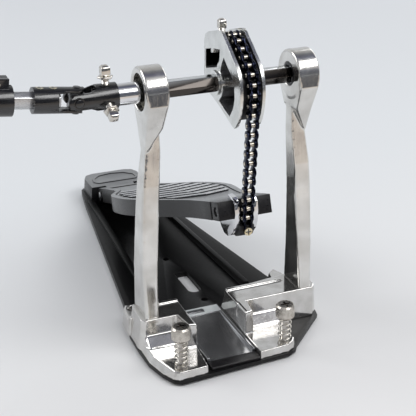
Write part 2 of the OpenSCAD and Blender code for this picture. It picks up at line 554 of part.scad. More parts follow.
FJ = shaft_length;
BORE = (ROD + 2 * RUN) / sqrt(3);
module outer_tube() color("#1a1b1d") on_shaft() difference() {
  rodx(tube_radius, 40, FJ - 14, 48);
  rodx(BORE, 39, 150, 6);
}
COLLAR_BOLT = [47.8, 0, 10.6];
module clamp_collar() color("#1a1b1d") on_shaft() difference() {
  union() {
    rodx(tube_radius + 1.6, 38.5, 57, 48);
    translate([41, -4.6, 6]) cube([13.5, 9.2, 8]);
  }
  rodx(tube_radius + SEAT, 39.95, 58, 48);
  rodx(BORE, 37, 59, 6);
  translate([37, -0.7, 5]) cube([30, 1.4, 20]);
  translate(COLLAR_BOLT) rotate([90, 0, 0]) up(1.8, 0, 0, -20, 40);
}
module clamp_bolt() color("#b9bbbd") on_shaft() translate(COLLAR_BOLT) rotate([90, 0, 0]) {
  up(1.8 - SEAT, 0, 0, -4.6, 9.3);
  difference() {
    up(2.6, 0, 0, 4.6, 3.2, 32);
    up(1.5, 0, 0, 6, 4, 6);
  }
}
module tube_yoke() color("#1d1e20") on_shaft() translate([FJ, 0, 0]) difference() {
  fork(8.8, 26, 13.5, 4.3, 5.3);
  rodx(tube_radius + SEAT, -40, -13.9, 48);
}
module far_cross() color("#242527") on_shaft() translate([FJ, 0, 0]) cross_block();
module at_far() translate([JX + FJ * cos(shaft_tilt), 0, H + FJ * sin(shaft_tilt)])
  mirror([1, 0, 0]) children();
module far_yoke() color("#1d1e20") at_far() end_yoke(25);
module far_key_bolts() color("#c4c6c8") at_far() key_bolts();

base_plate();
base_mat();
block_drive();
block_far();
clamp_plate();
clamp_core();
block_screws();
upright_drive();
upright_far();
bearing_outer_races();
bearing_balls();
bearing_inner_races();
bearing_shields();
retaining_ring();
heel_plate();
heel_pin();
heel_screws();
spur_screw_drive();
spur_screw_far();
spur_spring_drive();
spur_spring_far();
footboard();
board_ribs();
toe_bar();
toe_set_screws();
anchor_cheeks();
anchor_core();
chain_screw();
hex_axle();
cam();
cam_bed();
cam_key_bolt();
cam_chain();
axle_yoke();
axle_key_bolts();
chain_run();
near_cross();
shaft_yoke();
shaft_set_screws();
hex_rod();
outer_tube();
clamp_collar();
clamp_bolt();
tube_yoke();
far_cross();
far_yoke();
far_key_bolts();
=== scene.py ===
"""Looks of the slave side of a double bass drum pedal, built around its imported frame.

Lengths are in millimetres up to the point where a mesh is made, and MM turns them to metres.
"""

from __future__ import annotations

import json
import logging
import math
from dataclasses import dataclass, field
from enum import Enum

import bmesh
import bpy
from mathutils import Matrix, Vector

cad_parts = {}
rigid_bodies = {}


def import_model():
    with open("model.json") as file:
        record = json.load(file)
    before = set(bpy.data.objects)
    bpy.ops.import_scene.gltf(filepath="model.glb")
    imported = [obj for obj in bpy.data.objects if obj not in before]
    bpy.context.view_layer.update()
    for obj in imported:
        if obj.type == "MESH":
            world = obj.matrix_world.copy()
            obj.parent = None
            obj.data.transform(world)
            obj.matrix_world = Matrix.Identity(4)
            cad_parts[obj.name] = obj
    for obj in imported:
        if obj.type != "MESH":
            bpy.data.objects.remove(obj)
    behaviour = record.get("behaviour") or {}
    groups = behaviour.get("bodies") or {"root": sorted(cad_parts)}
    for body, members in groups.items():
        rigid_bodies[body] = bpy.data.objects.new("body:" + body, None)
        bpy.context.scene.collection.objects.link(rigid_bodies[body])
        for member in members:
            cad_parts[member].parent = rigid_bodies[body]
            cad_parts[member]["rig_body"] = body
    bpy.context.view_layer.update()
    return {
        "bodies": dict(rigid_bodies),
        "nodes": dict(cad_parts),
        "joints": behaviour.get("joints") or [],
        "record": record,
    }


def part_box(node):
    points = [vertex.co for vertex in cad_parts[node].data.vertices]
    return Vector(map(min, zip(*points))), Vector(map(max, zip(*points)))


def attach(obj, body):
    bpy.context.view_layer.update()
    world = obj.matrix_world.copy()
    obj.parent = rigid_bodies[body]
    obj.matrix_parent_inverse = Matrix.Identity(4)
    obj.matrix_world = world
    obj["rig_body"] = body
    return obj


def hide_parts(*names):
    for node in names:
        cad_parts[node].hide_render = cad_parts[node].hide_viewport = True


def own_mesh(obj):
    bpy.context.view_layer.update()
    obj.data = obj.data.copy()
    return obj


MM = 0.001
PICTURE_PIXELS = 416
LOG = logging.getLogger("pedal")

Form = bmesh.types.BMesh
Piece = bpy.types.Object
Socket = bpy.types.NodeSocket
Tree = bpy.types.NodeTree
Pair = tuple[float, float]
Triple = tuple[float, float, float]
Colour = tuple[float, float, float, float]
Stops = tuple[tuple[float, str], ...]

# How much detail the noise of broad, slow and fine patterns has, and where its values lie.
BROAD, SLOW, FINE = 3.0, 1.0, 2.0
NOISE_LOW, NOISE_HIGH = 0.3, 0.7
# The part of that range over which a finish goes from its dark to its light colour.
DARK_STOP, LIGHT_STOP = 0.35, 0.65
# Gloss drifts over patches this many grains wide, and no surface is smoother than this.
GLOSS_GRAINS = 3
LEAST_ROUGHNESS = 0.02
# How far a face's normal rises: below the first it is a side, and over the second it looks up.
RISE_LOW, RISE_HIGH = 0.6, 0.8
# Depth of a thread as a share of its pitch.
THREAD_DEPTH = 0.3


def linear(code: str) -> Colour:
    """Turns an sRGB hex value to linear red, green, blue and alpha.

    Args:
        code: six hex digits after a hash sign.

    Returns:
        The four channels, with alpha 1.
    """
    parts = [int(code[i : i + 2], 16) / 255 for i in (1, 3, 5)]
    low, knee, gain, power = 12.92, 0.04045, 1.055, 2.4
    red, green, blue = (v / low if v <= knee else ((v + gain - 1) / gain) ** power for v in parts)
    return red, green, blue, 1.0


def add_node(
    tree: Tree,
    kind: str,
    settings: dict | None = None,
    links: dict | None = None,
    stops: Stops = (),
) -> bpy.types.Node:
    """Adds one node to a tree.

    Args:
        tree: the tree that gets the node.
        kind: Blender's name for the node's type.
        settings: values by the name of a property or an input, or by an input's number.
        links: output sockets by the name or number of the input that they feed.
        stops: places from 0 to 1 and sRGB colours of a ramp, in order.

    Returns:
        The new node.
    """
    node = tree.nodes.new(kind)
    for key, value in (settings or {}).items():
        if isinstance(key, str) and hasattr(node, key):
            setattr(node, key, value)
        else:
            node.inputs[key].default_value = value
    for key, source in (links or {}).items():
        tree.links.new(source, node.inputs[key])
    if stops:
        elements = node.color_ramp.elements
        while len(elements) < len(stops):
            elements.new(0.5)
        for element, (place, code) in zip(elements, stops):
            element.position = place
            element.color = linear(code)
    return node


class Surface(Enum):
    """How a surface was made: the stretch of its grain along x, y and z."""

    EVEN = (1.0, 1.0, 1.0)
    ALONG_X = (0.08, 1.0, 1.0)
    ALONG_Y = (1.0, 0.08, 1.0)
    ALONG_Z = (1.0, 1.0, 0.06)


@dataclass(frozen=True)
class Finish:
    """A real material and its surface.

    Patches are the broad drift of colour. Ripple is the slow unevenness left by polishing, casting
    or pressing. Grain is the finest relief: brush lines, blasting and plating finer than 0.2 to
    0.6 mm are drawn as coarse as that, since they would not show. Sides is the colour of the faces
    that do not look up, where it differs; on the axle that colour is painted shade.
    """

    name: str
    slot: str
    light: str
    dark: str
    metallic: float
    roughness: float
    gloss_drift: float
    surface: Surface
    patch_mm: float
    ripple_mm: float
    ripple_height_mm: float
    grain_mm: float
    grain_height_mm: float
    ior: float = 1.5
    coat: float = 0.0
    sides: str = ""

    def build(self) -> bpy.types.Material:
        """Makes the node material.

        Returns:
            The material, named for the finish.
        """
        material = bpy.data.materials.new(self.name)
        material.use_nodes = True
        tree = material.node_tree
        shader = tree.nodes["Principled BSDF"]
        shader.inputs["Metallic"].default_value = self.metallic
        shader.inputs["IOR"].default_value = self.ior
        shader.inputs["Coat Weight"].default_value = self.coat
        place = add_node(tree, "ShaderNodeTexCoord").outputs["Object"]
        stretch = {"Scale": self.surface.value}
        mapping = add_node(tree, "ShaderNodeMapping", stretch, {"Vector": place})
        stretched = mapping.outputs["Vector"]
        noise = {}
        for name, size_mm, source, detail in (
            ("patches", self.patch_mm, place, BROAD),
            ("gloss", self.grain_mm * GLOSS_GRAINS, stretched, FINE),
            ("ripple", self.ripple_mm, place, SLOW),
            ("grain", self.grain_mm, stretched, FINE),
        ):
            settings = {"Scale": 1 / (size_mm * MM), "Detail": detail}
            node = add_node(tree, "ShaderNodeTexNoise", settings, {"Vector": source})
            noise[name] = node.outputs["Fac"]

        stops = ((DARK_STOP, self.dark), (LIGHT_STOP, self.light))
        ramp = add_node(tree, "ShaderNodeValToRGB", links={"Fac": noise["patches"]}, stops=stops)
        tree.links.new(self.tinted(tree, ramp.outputs["Color"]), shader.inputs["Base Color"])
        drift = {
            "From Min": NOISE_LOW,
            "From Max": NOISE_HIGH,
            "To Min": max(LEAST_ROUGHNESS, self.roughness - self.gloss_drift),
            "To Max": self.roughness + self.gloss_drift,
        }
        gloss = add_node(tree, "ShaderNodeMapRange", drift, {"Value": noise["gloss"]})
        tree.links.new(gloss.outputs["Result"], shader.inputs["Roughness"])
        relief = {"Strength": 1.0, "Distance": self.ripple_height_mm * MM}
        ripple = add_node(tree, "ShaderNodeBump", relief, {"Height": noise["ripple"]})
        relief = {"Strength": 1.0, "Distance": self.grain_height_mm * MM}
        feeds = {"Height": noise["grain"], "Normal": ripple.outputs["Normal"]}
        grain = add_node(tree, "ShaderNodeBump", relief, feeds)
        tree.links.new(grain.outputs["Normal"], shader.inputs["Normal"])
        return material

    def tinted(self, tree: Tree, colour: Socket) -> Socket:
        """Darkens the faces that do not look up, where the finish asks for it.

        Args:
            tree: the material's nodes.
            colour: the colour of the upper faces.

        Returns:
            The colour that goes to the shader.
        """
        if not self.sides:
            return colour
        # On the axle, the darker colour of these faces is painted shade.
        normal = add_node(tree, "ShaderNodeTexCoord").outputs["Normal"]
        height = add_node(tree, "ShaderNodeSeparateXYZ", links={"Vector": normal}).outputs["Z"]
        rise = {"From Min": RISE_LOW, "From Max": RISE_HIGH}
        upward = add_node(tree, "ShaderNodeMapRange", rise, {"Value": height}).outputs["Result"]
        colours = {"data_type": "RGBA", 6: linear(self.sides)}
        mixed = add_node(tree, "ShaderNodeMix", colours, {0: upward, 7: colour})
        return mixed.outputs[2]


# Die-cast aluminium, ground and mop polished: bright, with a slow waviness and fine mop lines.
CAST_ALUMINIUM = Finish(
    "polished_cast_aluminium", "polished_aluminium", "#dddcda", "#cccac7", 0.95, 0.12, 0.05,
    Surface.EVEN, 9.0, 8.0, 0.05, 0.5, 0.003,
)
# The same casting on the uprights, mopped along their length.
CAST_COLUMN = Finish(
    "polished_cast_aluminium_column", "polished_aluminium", "#e2e1de", "#cdcbc7", 0.96, 0.15, 0.06,
    Surface.ALONG_Z, 14.0, 10.0, 0.06, 0.6, 0.006,
)
# The clamp plate, cast in the same alloy but only brushed to a satin.
CAST_SATIN = Finish(
    "satin_cast_aluminium", "polished_aluminium", "#a3a4a6", "#96979a", 0.85, 0.2, 0.04,
    Surface.ALONG_Y, 12.0, 12.0, 0.03, 0.6, 0.0005,
)
# The cam's sides, bead blasted lightly before they were buffed.
CAM_ALUMINIUM = Finish(
    "buffed_cam_aluminium", "polished_aluminium", "#e3e4e2", "#d3d4d2", 1.0, 0.22, 0.06,
    Surface.EVEN, 8.0, 4.0, 0.02, 0.4, 0.004,
)
# Decorative chromium plate over polished steel: mirror bright.
CHROME_PLATE = Finish(
    "chromium_plate", "chrome", "#e4e5e7", "#d8d9dc", 1.0, 0.07, 0.02,
    Surface.ALONG_X, 12.0, 9.0, 0.01, 0.4, 0.0006,
)
# Nickel plate on small turned and milled screws: bright with a slightly warm cast.
NICKEL_PLATE = Finish(
    "nickel_plate", "plated_steel", "#dcd9d4", "#c6c1b8", 1.0, 0.12, 0.04,
    Surface.EVEN, 3.0, 2.0, 0.006, 0.25, 0.002,
)
# Duller nickel on the spur screws' knurled heads.
SATIN_NICKEL = Finish(
    "satin_nickel_plate", "plated_steel", "#cdc8c0", "#b3aea6", 1.0, 0.24, 0.06,
    Surface.EVEN, 3.0, 2.0, 0.01, 0.25, 0.004,
)
# Black nickel on the small block screws. On the flat ends of the spur screws' heads the same dark
# grey is a painted reflection of the dark ceiling.
BLACK_NICKEL_AND_DARK_REFLECTION = Finish(
    "black_nickel_and_painted_reflection", "plated_steel", "#8c8986", "#6d6a67", 1.0, 0.26, 0.06,
    Surface.EVEN, 3.0, 2.0, 0.01, 0.25, 0.004,
)
# Machined aluminium left as milled: pale and nearly matt.
MILLED_ALUMINIUM = Finish(
    "milled_aluminium", "polished_aluminium", "#c9cecf", "#bcc1c2", 0.0, 0.4, 0.05,
    Surface.ALONG_X, 6.0, 5.0, 0.01, 0.4, 0.004,
)
# Painted shade: a duller, darker aluminium laid on the walls of the cam's deep windows.
WINDOW_SHADE_ALUMINIUM = Finish(
    "cam_window_painted_shade", "gunmetal", "#a9aaaf", "#939499", 0.3, 0.35, 0.08,
    Surface.EVEN, 4.0, 3.0, 0.02, 0.5, 0.01,
)
# The hexagonal axle: a bright ground top flat; every other flat is drawn dark as painted shade.
AXLE_STEEL = Finish(
    "axle_steel_with_painted_shade_flats", "chrome", "#dadcdd", "#ccced0", 1.0, 0.12, 0.04,
    Surface.ALONG_X, 9.0, 6.0, 0.01, 0.5, 0.003, sides="#4a4643",
)
# Satin chrome on the sliding rod.
SATIN_CHROME = Finish(
    "satin_chrome", "chrome", "#c9cacb", "#bbbcbe", 0.85, 0.28, 0.05,
    Surface.ALONG_X, 9.0, 6.0, 0.01, 0.5, 0.003,
)
# Nickel-plated spring wire.
SPRING_WIRE = Finish(
    "nickel_plated_wire", "spring_steel", "#dcd9d2", "#c4c0b8", 1.0, 0.16, 0.05,
    Surface.EVEN, 2.0, 1.0, 0.005, 0.2, 0.002,
)
# Zinc plate with yellow chromate: the straw colour of small screws.
YELLOW_ZINC = Finish(
    "yellow_zinc_plate", "brassy_zinc", "#e4dcc4", "#c8b994", 1.0, 0.2, 0.06,
    Surface.EVEN, 1.5, 1.0, 0.005, 0.2, 0.003,
)
# Tumbled steel of the chain's rollers and pins: pale with a cream cast.
ROLLER_STEEL = Finish(
    "tumbled_roller_steel", "plated_steel", "#d8d2c6", "#b4ab9c", 1.0, 0.26, 0.08,
    Surface.EVEN, 1.5, 1.0, 0.005, 0.2, 0.003,
)
# Ground bearing steel, drawn dark olive grey as painted shade for the dark inside of the bore.
BEARING_STEEL = Finish(
    "bearing_steel_painted_shade", "race_steel", "#5d5b52", "#45443d", 1.0, 0.25, 0.06,
    Surface.ALONG_X, 4.0, 3.0, 0.004, 0.2, 0.002,
)
# Bright drawn steel pins.
BRIGHT_STEEL = Finish(
    "bright_drawn_steel", "pin_steel", "#a9aaab", "#8b8c8e", 1.0, 0.3, 0.08,
    Surface.ALONG_X, 4.0, 3.0, 0.004, 0.25, 0.004,
)
# Heat-blued steel of the chain's plates: blue black and glossy under oil.
BLUED_STEEL = Finish(
    "blued_chain_steel", "blued_steel", "#2a2e40", "#191b27", 1.0, 0.2, 0.07,
    Surface.EVEN, 2.0, 1.4, 0.01, 0.25, 0.004,
)
# Chemical black oxide on turned steel: near black with a silky gloss. In screws' cross recesses the
# same near black is painted shadow.
BLACK_OXIDE_AND_SHADOW = Finish(
    "black_oxide_steel_and_painted_shadow", "black_oxide", "#121215", "#0a0a0c", 0.0, 0.22, 0.07,
    Surface.ALONG_X, 5.0, 3.0, 0.01, 0.3, 0.004, ior=1.75,
)
# Satin black powder coat on pressed steel: fine orange peel.
POWDER_COAT = Finish(
    "black_powder_coat", "black_steel", "#0b0b0c", "#070708", 0.0, 0.36, 0.06,
    Surface.EVEN, 20.0, 2.6, 0.01, 0.5, 0.003, ior=1.36,
)
# Moulded rubber underlay: matt black.
RUBBER = Finish(
    "moulded_black_rubber", "black_rubber", "#151516", "#0d0d0e", 0.0, 0.72, 0.08,
    Surface.EVEN, 12.0, 3.0, 0.02, 0.5, 0.02,
)
# Glass-filled nylon of the toe bar and the chain beds: black with a soft sheen.
BLACK_NYLON = Finish(
    "black_nylon", "black_plastic", "#161517", "#0d0c0e", 0.0, 0.34, 0.08,
    Surface.EVEN, 5.0, 3.0, 0.02, 0.4, 0.008,
)
# Silver-grey lacquer on the cast footboard and heel; every face that does not look up, the
# undersides too, is drawn near black.
GUNMETAL = Finish(
    "gunmetal_lacquer", "gunmetal", "#838586", "#76787a", 0.2, 0.36, 0.06,
    Surface.EVEN, 14.0, 5.0, 0.02, 0.35, 0.006, coat=0.05, sides="#1b1b1c",
)
# Grip bars whose tops are machined bare through the lacquer.
BARE_BARS = Finish(
    "machined_bare_aluminium", "bare_grip", "#cfd0d1", "#b8b9bb", 0.9, 0.3, 0.06,
    Surface.ALONG_X, 5.0, 3.0, 0.005, 0.3, 0.004, sides="#4a4b4d",
)


class Dresser:
    """Puts finished pieces on the frame and keeps each finish's one material."""

    def __init__(self, frame: dict) -> None:
        """Keeps the loaded frame.
        """
        self.frame = frame
        self.materials: dict[str, bpy.types.Material] = {}

    def material(self, finish: Finish) -> bpy.types.Material:
        """Gives the material of a finish, which is made once.

        Args:
            finish: the finish.

        Returns:
            Its material.
        """
        if finish.name not in self.materials:
            self.materials[finish.name] = finish.build()
        return self.materials[finish.name]

    def body_of(self, node: str) -> str:
        """The name of the body that a frame node rides on."""
        return self.frame["nodes"][node]["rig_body"]

    def dress(self, node: str, finish: Finish) -> None:
        """Gives a frame node that stays in view its finish.

        Args:
            node: the frame node.
            finish: its finish.
        """
        piece = self.frame["nodes"][node]
        piece.data.materials.clear()
        piece.data.materials.append(self.material(finish))
        LOG.info("%s kept, %s", node, finish.name)

    def put(self, piece: Piece, finish: Finish, *nodes: str, body: str = "") -> Piece:
        """Settles a new piece on its body.

        Args:
            piece: the finished mesh, in the row's frame.
            finish: its finish.
            nodes: the frame nodes that it stands for.
            body: the body that it rides on, by default the first node's.

        Returns:
            The piece.
        """
        piece.data.materials.clear()
        piece.data.materials.append(self.material(finish))
        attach(piece, body or self.body_of(nodes[0]))
        if nodes:
            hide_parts(*nodes)
        LOG.info("%s made, %s", piece.name, finish.name)
        return piece


def object_from(name: str, form: Form, smooth_degrees: float = 35.0) -> Piece:
    """Turns a bmesh to an object with smooth shading up to an angle.

    Args:
        name: the piece's name.
        form: the mesh in metres, freed here.
        smooth_degrees: edges sharper than this stay crisp.

    Returns:
        The object, linked to the scene.
    """
    bmesh.ops.recalc_face_normals(form, faces=form.faces)
    mesh = bpy.data.meshes.new(name)
    form.to_mesh(mesh)
    form.free()
    mesh.shade_smooth()
    mesh.set_sharp_from_angle(angle=math.radians(smooth_degrees))
    piece = bpy.data.objects.new(name, mesh)
    bpy.context.scene.collection.objects.link(piece)
    return piece


def baked(piece: Piece, smooth_degrees: float = 35.0) -> Piece:
    """Applies a piece's modifiers to its mesh.

    Args:
        piece: the piece to change.
        smooth_degrees: edges sharper than this stay crisp.

    Returns:
        The piece.
    """
    bpy.context.view_layer.update()
    graph = bpy.context.evaluated_depsgraph_get()
    mesh = bpy.data.meshes.new_from_object(piece.evaluated_get(graph))
    piece.modifiers.clear()
    piece.data = mesh
    mesh.shade_smooth()
    mesh.set_sharp_from_angle(angle=math.radians(smooth_degrees))
    return piece


def form_of(node: Piece) -> Form:
    """Copies a frame node's mesh, welded, with its flat faces whole again.

    Args:
        node: the frame node's object.

    Returns:
        The form, in metres.
    """
    form = bmesh.new()
    form.from_mesh(node.data)
    same_mm, flat_degrees = 0.002, 0.3
    bmesh.ops.remove_doubles(form, verts=form.verts, dist=same_mm * MM)
    flat = math.radians(flat_degrees)
    bmesh.ops.dissolve_limit(form, angle_limit=flat, verts=form.verts, edges=form.edges)
    return form


def rounded(piece: Piece, width_mm: float, steps: int = 2, degrees: float = 30.0) -> Piece:
    """Rounds a piece's edges.

    Args:
        piece: the piece to change.
        width_mm: how far back each edge is cut.
        steps: faces across the rounding.
        degrees: edges flatter than this are left.

    Returns:
        The piece, with the rounding in its mesh.
    """
    bevel = piece.modifiers.new("round", "BEVEL")
    bevel.width = width_mm * MM
    bevel.segments = steps
    bevel.limit_method = "ANGLE"
    bevel.angle_limit = math.radians(degrees)
    bevel.use_clamp_overlap = True
    weighted = piece.modifiers.new("weigh", "WEIGHTED_NORMAL")
    weighted.keep_sharp = True
    return baked(piece)


def cast(piece: Piece, grid_mm: float, softening: int, keep: float) -> Piece:
    """Fuses and softens a piece as a casting that was mop polished.

    Args:
        piece: the piece to change.
        grid_mm: the remesh's grid.
        softening: rounds of smoothing, which sets the edges' radius.
        keep: share of the faces that is kept at the end.

    Returns:
        The piece.
    """
    remesh = piece.modifiers.new("fuse", "REMESH")
    remesh.mode = "VOXEL"
    remesh.voxel_size = grid_mm * MM
    smooth = piece.modifiers.new("soften", "SMOOTH")
    smooth.factor = 0.5
    smooth.iterations = softening
    thin = piece.modifiers.new("thin", "DECIMATE")
    thin.ratio = keep
    return baked(piece, smooth_degrees=60.0)


def turned(
    profile: list[Pair], sides: int = 48, knurled: tuple[int, ...] = (), depth_mm: float = 0.0
) -> Form:
    """Turns a profile about z.

    Args:
        profile: radius and height pairs in mm, from the bottom axis point to the top one.
        sides: steps round the axis.
        knurled: the profile points at which every other step is cut in.
        depth_mm: depth of the knurl.

    Returns:
        The closed form, in metres.
    """
    form = bmesh.new()
    rings = []
    for index, (radius, height) in enumerate(profile):
        if radius <= 0:
            rings.append([form.verts.new((0, 0, height * MM))])
            continue
        ring = []
        for step in range(sides):
            angle = 2 * math.pi * step / sides
            r = (radius - (depth_mm if index in knurled and step % 2 else 0.0)) * MM
            ring.append(form.verts.new((r * math.cos(angle), r * math.sin(angle), height * MM)))
        rings.append(ring)
    for low, high in zip(rings, rings[1:]):
        for step in range(sides):
            after = (step + 1) % sides
            if len(low) == 1:
                form.faces.new((low[0], high[after], high[step]))
            elif len(high) == 1:
                form.faces.new((low[step], low[after], high[0]))
            else:
                form.faces.new((low[step], low[after], high[after], high[step]))
    return form


def bar(
    radius: float, low: float, high: float, inward: float = 0.0, along: float = 0.0, sides: int = 48
) -> Form:
    """Makes a bar along z, round or with a few flat sides.

    Args:
        radius: its radius, or half its width across corners, in mm.
        low: where it starts.
        high: where it ends.
        inward: how far in its ends are cut back.
        along: how far along it they are cut back.
        sides: its sides.

    Returns:
        The form, in metres.
    """
    start, end = [(radius, low)], [(radius, high)]
    if inward:
        start = [(radius - inward, low), (radius, low + along)]
        end = [(radius, high - along), (radius - inward, high)]
    return turned([(0, low), *start, *end, (0, high)], sides)


def thread(radius: float, low: float, high: float, pitch: float) -> list[Pair]:
    """Lists the profile points of a thread's crests and roots, in mm.

    Args:
        radius: the crests' radius.
        low: the height where the thread starts.
        high: the height where it ends.
        pitch: the height of one turn.

    Returns:
        Radius and height pairs.
    """
    turns = max(1, round((high - low) / pitch))
    step = (high - low) / turns
    root = radius - THREAD_DEPTH * pitch
    points = []
    for k in range(turns):
        points += [(root, low + k * step), (radius, low + (k + 0.5) * step)]
    return points + [(root, high)]


def raised(form: Form, faces: list[bmesh.types.BMFace], move: Triple) -> Form:
    """Extrudes faces of a form.

    Args:
        form: the form that grows.
        faces: its faces that are extruded.
        move: how far they go, in metres.

    Returns:
        The form.
    """
    made = bmesh.ops.extrude_face_region(form, geom=faces)
    top = [v for v in made["geom"] if isinstance(v, bmesh.types.BMVert)]
    bmesh.ops.translate(form, verts=top, vec=move)
    return form


def cross_form(arm: float, width: float, low: float, high: float) -> Form:
    """Makes the form of a screw's cross recess about z.

    Args:
        arm: the cross's size, in mm.
        width: its slots' width.
        low: its lower height.
        high: its upper height.

    Returns:
        The form, in metres.
    """
    a, w = arm / 2 * MM, width / 2 * MM
    outline = [
        (w, w), (a, w), (a, -w), (w, -w), (w, -a), (-w, -a),
        (-w, -w), (-a, -w), (-a, w), (-w, w), (-w, a), (w, a),
    ]
    form = bmesh.new()
    base = form.faces.new([form.verts.new((x, y, low * MM)) for x, y in outline])
    raised(form, [base], (0, 0, (high - low) * MM))
    bmesh.ops.recalc_face_normals(form, faces=form.faces)
    return form


def swept(path: list[Vector], section: list[Pair], up: Vector) -> Form:
    """Sweeps a section along a path.

    Args:
        path: points in mm.
        section: points across and up from the path, in mm.
        up: the direction that the section's second number follows.

    Returns:
        The form, in metres, with capped ends.
    """
    form = bmesh.new()
    rings = []
    for i, point in enumerate(path):
        along = (path[min(i + 1, len(path) - 1)] - path[max(i - 1, 0)]).normalized()
        side = along.cross(up).normalized()
        rise = side.cross(along)
        rings.append([form.verts.new((point + side * a + rise * b) * MM) for a, b in section])
    for low, high in zip(rings, rings[1:]):
        for k in range(len(section)):
            after = (k + 1) % len(section)
            form.faces.new((low[k], low[after], high[after], high[k]))
    form.faces.new(rings[0])
    form.faces.new(rings[-1])
    return form


def round_section(radius: float, sides: int) -> list[Pair]:
    """Lists the points round a wire's section.

    Args:
        radius: the wire's radius.
        sides: how many points there are.

    Returns:
        The points, in the radius's unit.
    """
    return [
        (radius * math.cos(2 * math.pi * k / sides), radius * math.sin(2 * math.pi * k / sides))
        for k in range(sides)
    ]


def plate(outline: list[Pair], thickness: float) -> Form:
    """Makes a flat plate across x, from x 0.

    Args:
        outline: its points in y and z, in mm.
        thickness: its size along x, in mm.

    Returns:
        The form, in metres.
    """
    form = bmesh.new()
    base = form.faces.new([form.verts.new((0, y * MM, z * MM)) for y, z in outline])
    return raised(form, [base], (thickness * MM, 0, 0))


def sleeve(outline: list[Pair], length: float) -> Form:
    """Makes a skin of two sides along an outline, with no thickness between them, from x 0.

    Args:
        outline: its points in y and z, in mm.
        length: its size along x, in mm.

    Returns:
        The form, in metres.
    """
    form = bmesh.new()
    base = form.faces.new([form.verts.new((0, y * MM, z * MM)) for y, z in outline])
    bmesh.ops.inset_individual(form, faces=[base], thickness=0.0, use_even_offset=True)
    bmesh.ops.delete(form, geom=[base], context="FACES_ONLY")
    return raised(form, list(form.faces), (length * MM, 0, 0))


def block_form(low: Triple, high: Triple) -> Form:
    """Makes a box.

    Args:
        low: its lower corner, in mm.
        high: its upper corner.

    Returns:
        The form, in metres.
    """
    form = bmesh.new()
    bmesh.ops.create_cube(form, size=1.0)
    for vert in form.verts:
        vert.co = Vector([(high[i] if vert.co[i] > 0 else low[i]) * MM for i in range(3)])
    return form


def softened(form: Form, width_mm: float, degrees: float = 35.0) -> Form:
    """Rounds a form's edges.

    Args:
        form: the form to change.
        width_mm: how far back each edge is cut.
        degrees: edges flatter than this are left.

    Returns:
        The form.
    """
    bmesh.ops.recalc_face_normals(form, faces=form.faces)
    edges = [edge for edge in form.edges if edge.calc_face_angle(0) > math.radians(degrees)]
    bmesh.ops.bevel(
        form, geom=edges, offset=width_mm * MM, segments=2, profile=0.5, affect="EDGES",
        clamp_overlap=True,
    )
    return form


def carved(piece: Piece, cutter: Form) -> Piece:
    """Cuts a form out of a piece.

    Args:
        piece: the piece to change.
        cutter: the form that is taken away, freed here.

    Returns:
        The piece.
    """
    tool = object_from("cutter", cutter)
    cut = piece.modifiers.new("carve", "BOOLEAN")
    cut.operation = "DIFFERENCE"
    cut.object = tool
    baked(piece)
    bpy.data.objects.remove(tool)
    return piece


def add_form(target: Form, extra: Form, place: Matrix) -> None:
    """Adds a copy of one form to another.

    Args:
        target: the form that grows.
        extra: the form that is copied.
        place: where the copy goes, with its shift in metres.
    """
    mesh = bpy.data.meshes.new("part")
    extra.to_mesh(mesh)
    mesh.transform(place)
    target.from_mesh(mesh)
    bpy.data.meshes.remove(mesh)


def shift(x: float, y: float, z: float) -> Matrix:
    """A move, given in mm."""
    return Matrix.Translation(Vector((x, y, z)) * MM)


def turn(degrees: float, axis: str) -> Matrix:
    """A turn about x, y or z."""
    return Matrix.Rotation(math.radians(degrees), 4, axis)


@dataclass
class Assembly:
    """What every sub-assembly needs: the dresser that settles its pieces."""

    dresser: Dresser
    cross_depth: float = 0.5
    cross_proud: float = 0.02

    def renew(self, node: str, finish: Finish, width_mm: float, steps: int = 2) -> Piece:
        """Stands a copy with rounded edges in for a frame node.

        Args:
            node: the frame node.
            finish: its finish.
            width_mm: the rounding of its edges.
            steps: faces across the rounding.

        Returns:
            The piece.
        """
        piece = object_from(f"{node}_finished", form_of(self.dresser.frame["nodes"][node]))
        rounded(piece, width_mm, steps)
        return self.dresser.put(piece, finish, node)

    def slots(self, name: str, places: list[Matrix], arm: float, width: float, node: str) -> None:
        """Fills screws' cross recesses with their shadow.

        Args:
            name: the piece's name.
            places: where each screw's end face is, with z out of it.
            arm: the cross's size, in mm.
            width: its slots' width, in mm.
            node: a frame node on the same body.
        """
        one = cross_form(arm, width, -self.cross_depth, self.cross_proud)
        form = bmesh.new()
        for place in places:
            add_form(form, one, place)
        one.free()
        # Painted shadow: near-black crosses stand in for the recesses' shade.
        self.dresser.put(object_from(name, form), BLACK_OXIDE_AND_SHADOW, body=self.dresser.body_of(node))

    def recast(
        self, node: str, finish: Finish, grid_mm: float, softening: int, keep: float
    ) -> Piece:
        """Stands a softened casting in for a frame node.

        Args:
            node: the frame node.
            finish: its finish.
            grid_mm: the remesh's grid.
            softening: rounds of smoothing.
            keep: share of the faces that is kept.

        Returns:
            The piece.
        """
        piece = object_from(f"{node}_finished", form_of(self.dresser.frame["nodes"][node]))
        cast(piece, grid_mm, softening, keep)
        return self.dresser.put(piece, finish, node)


@dataclass
class Base(Assembly):
    """The pressed floor plate with its rubber mat."""

    def build(self) -> None:
        """Makes the plate and the mat."""
        self.renew("base_plate", POWDER_COAT, width_mm=1.0, steps=3)
        self.renew("base_mat", RUBBER, width_mm=0.3)


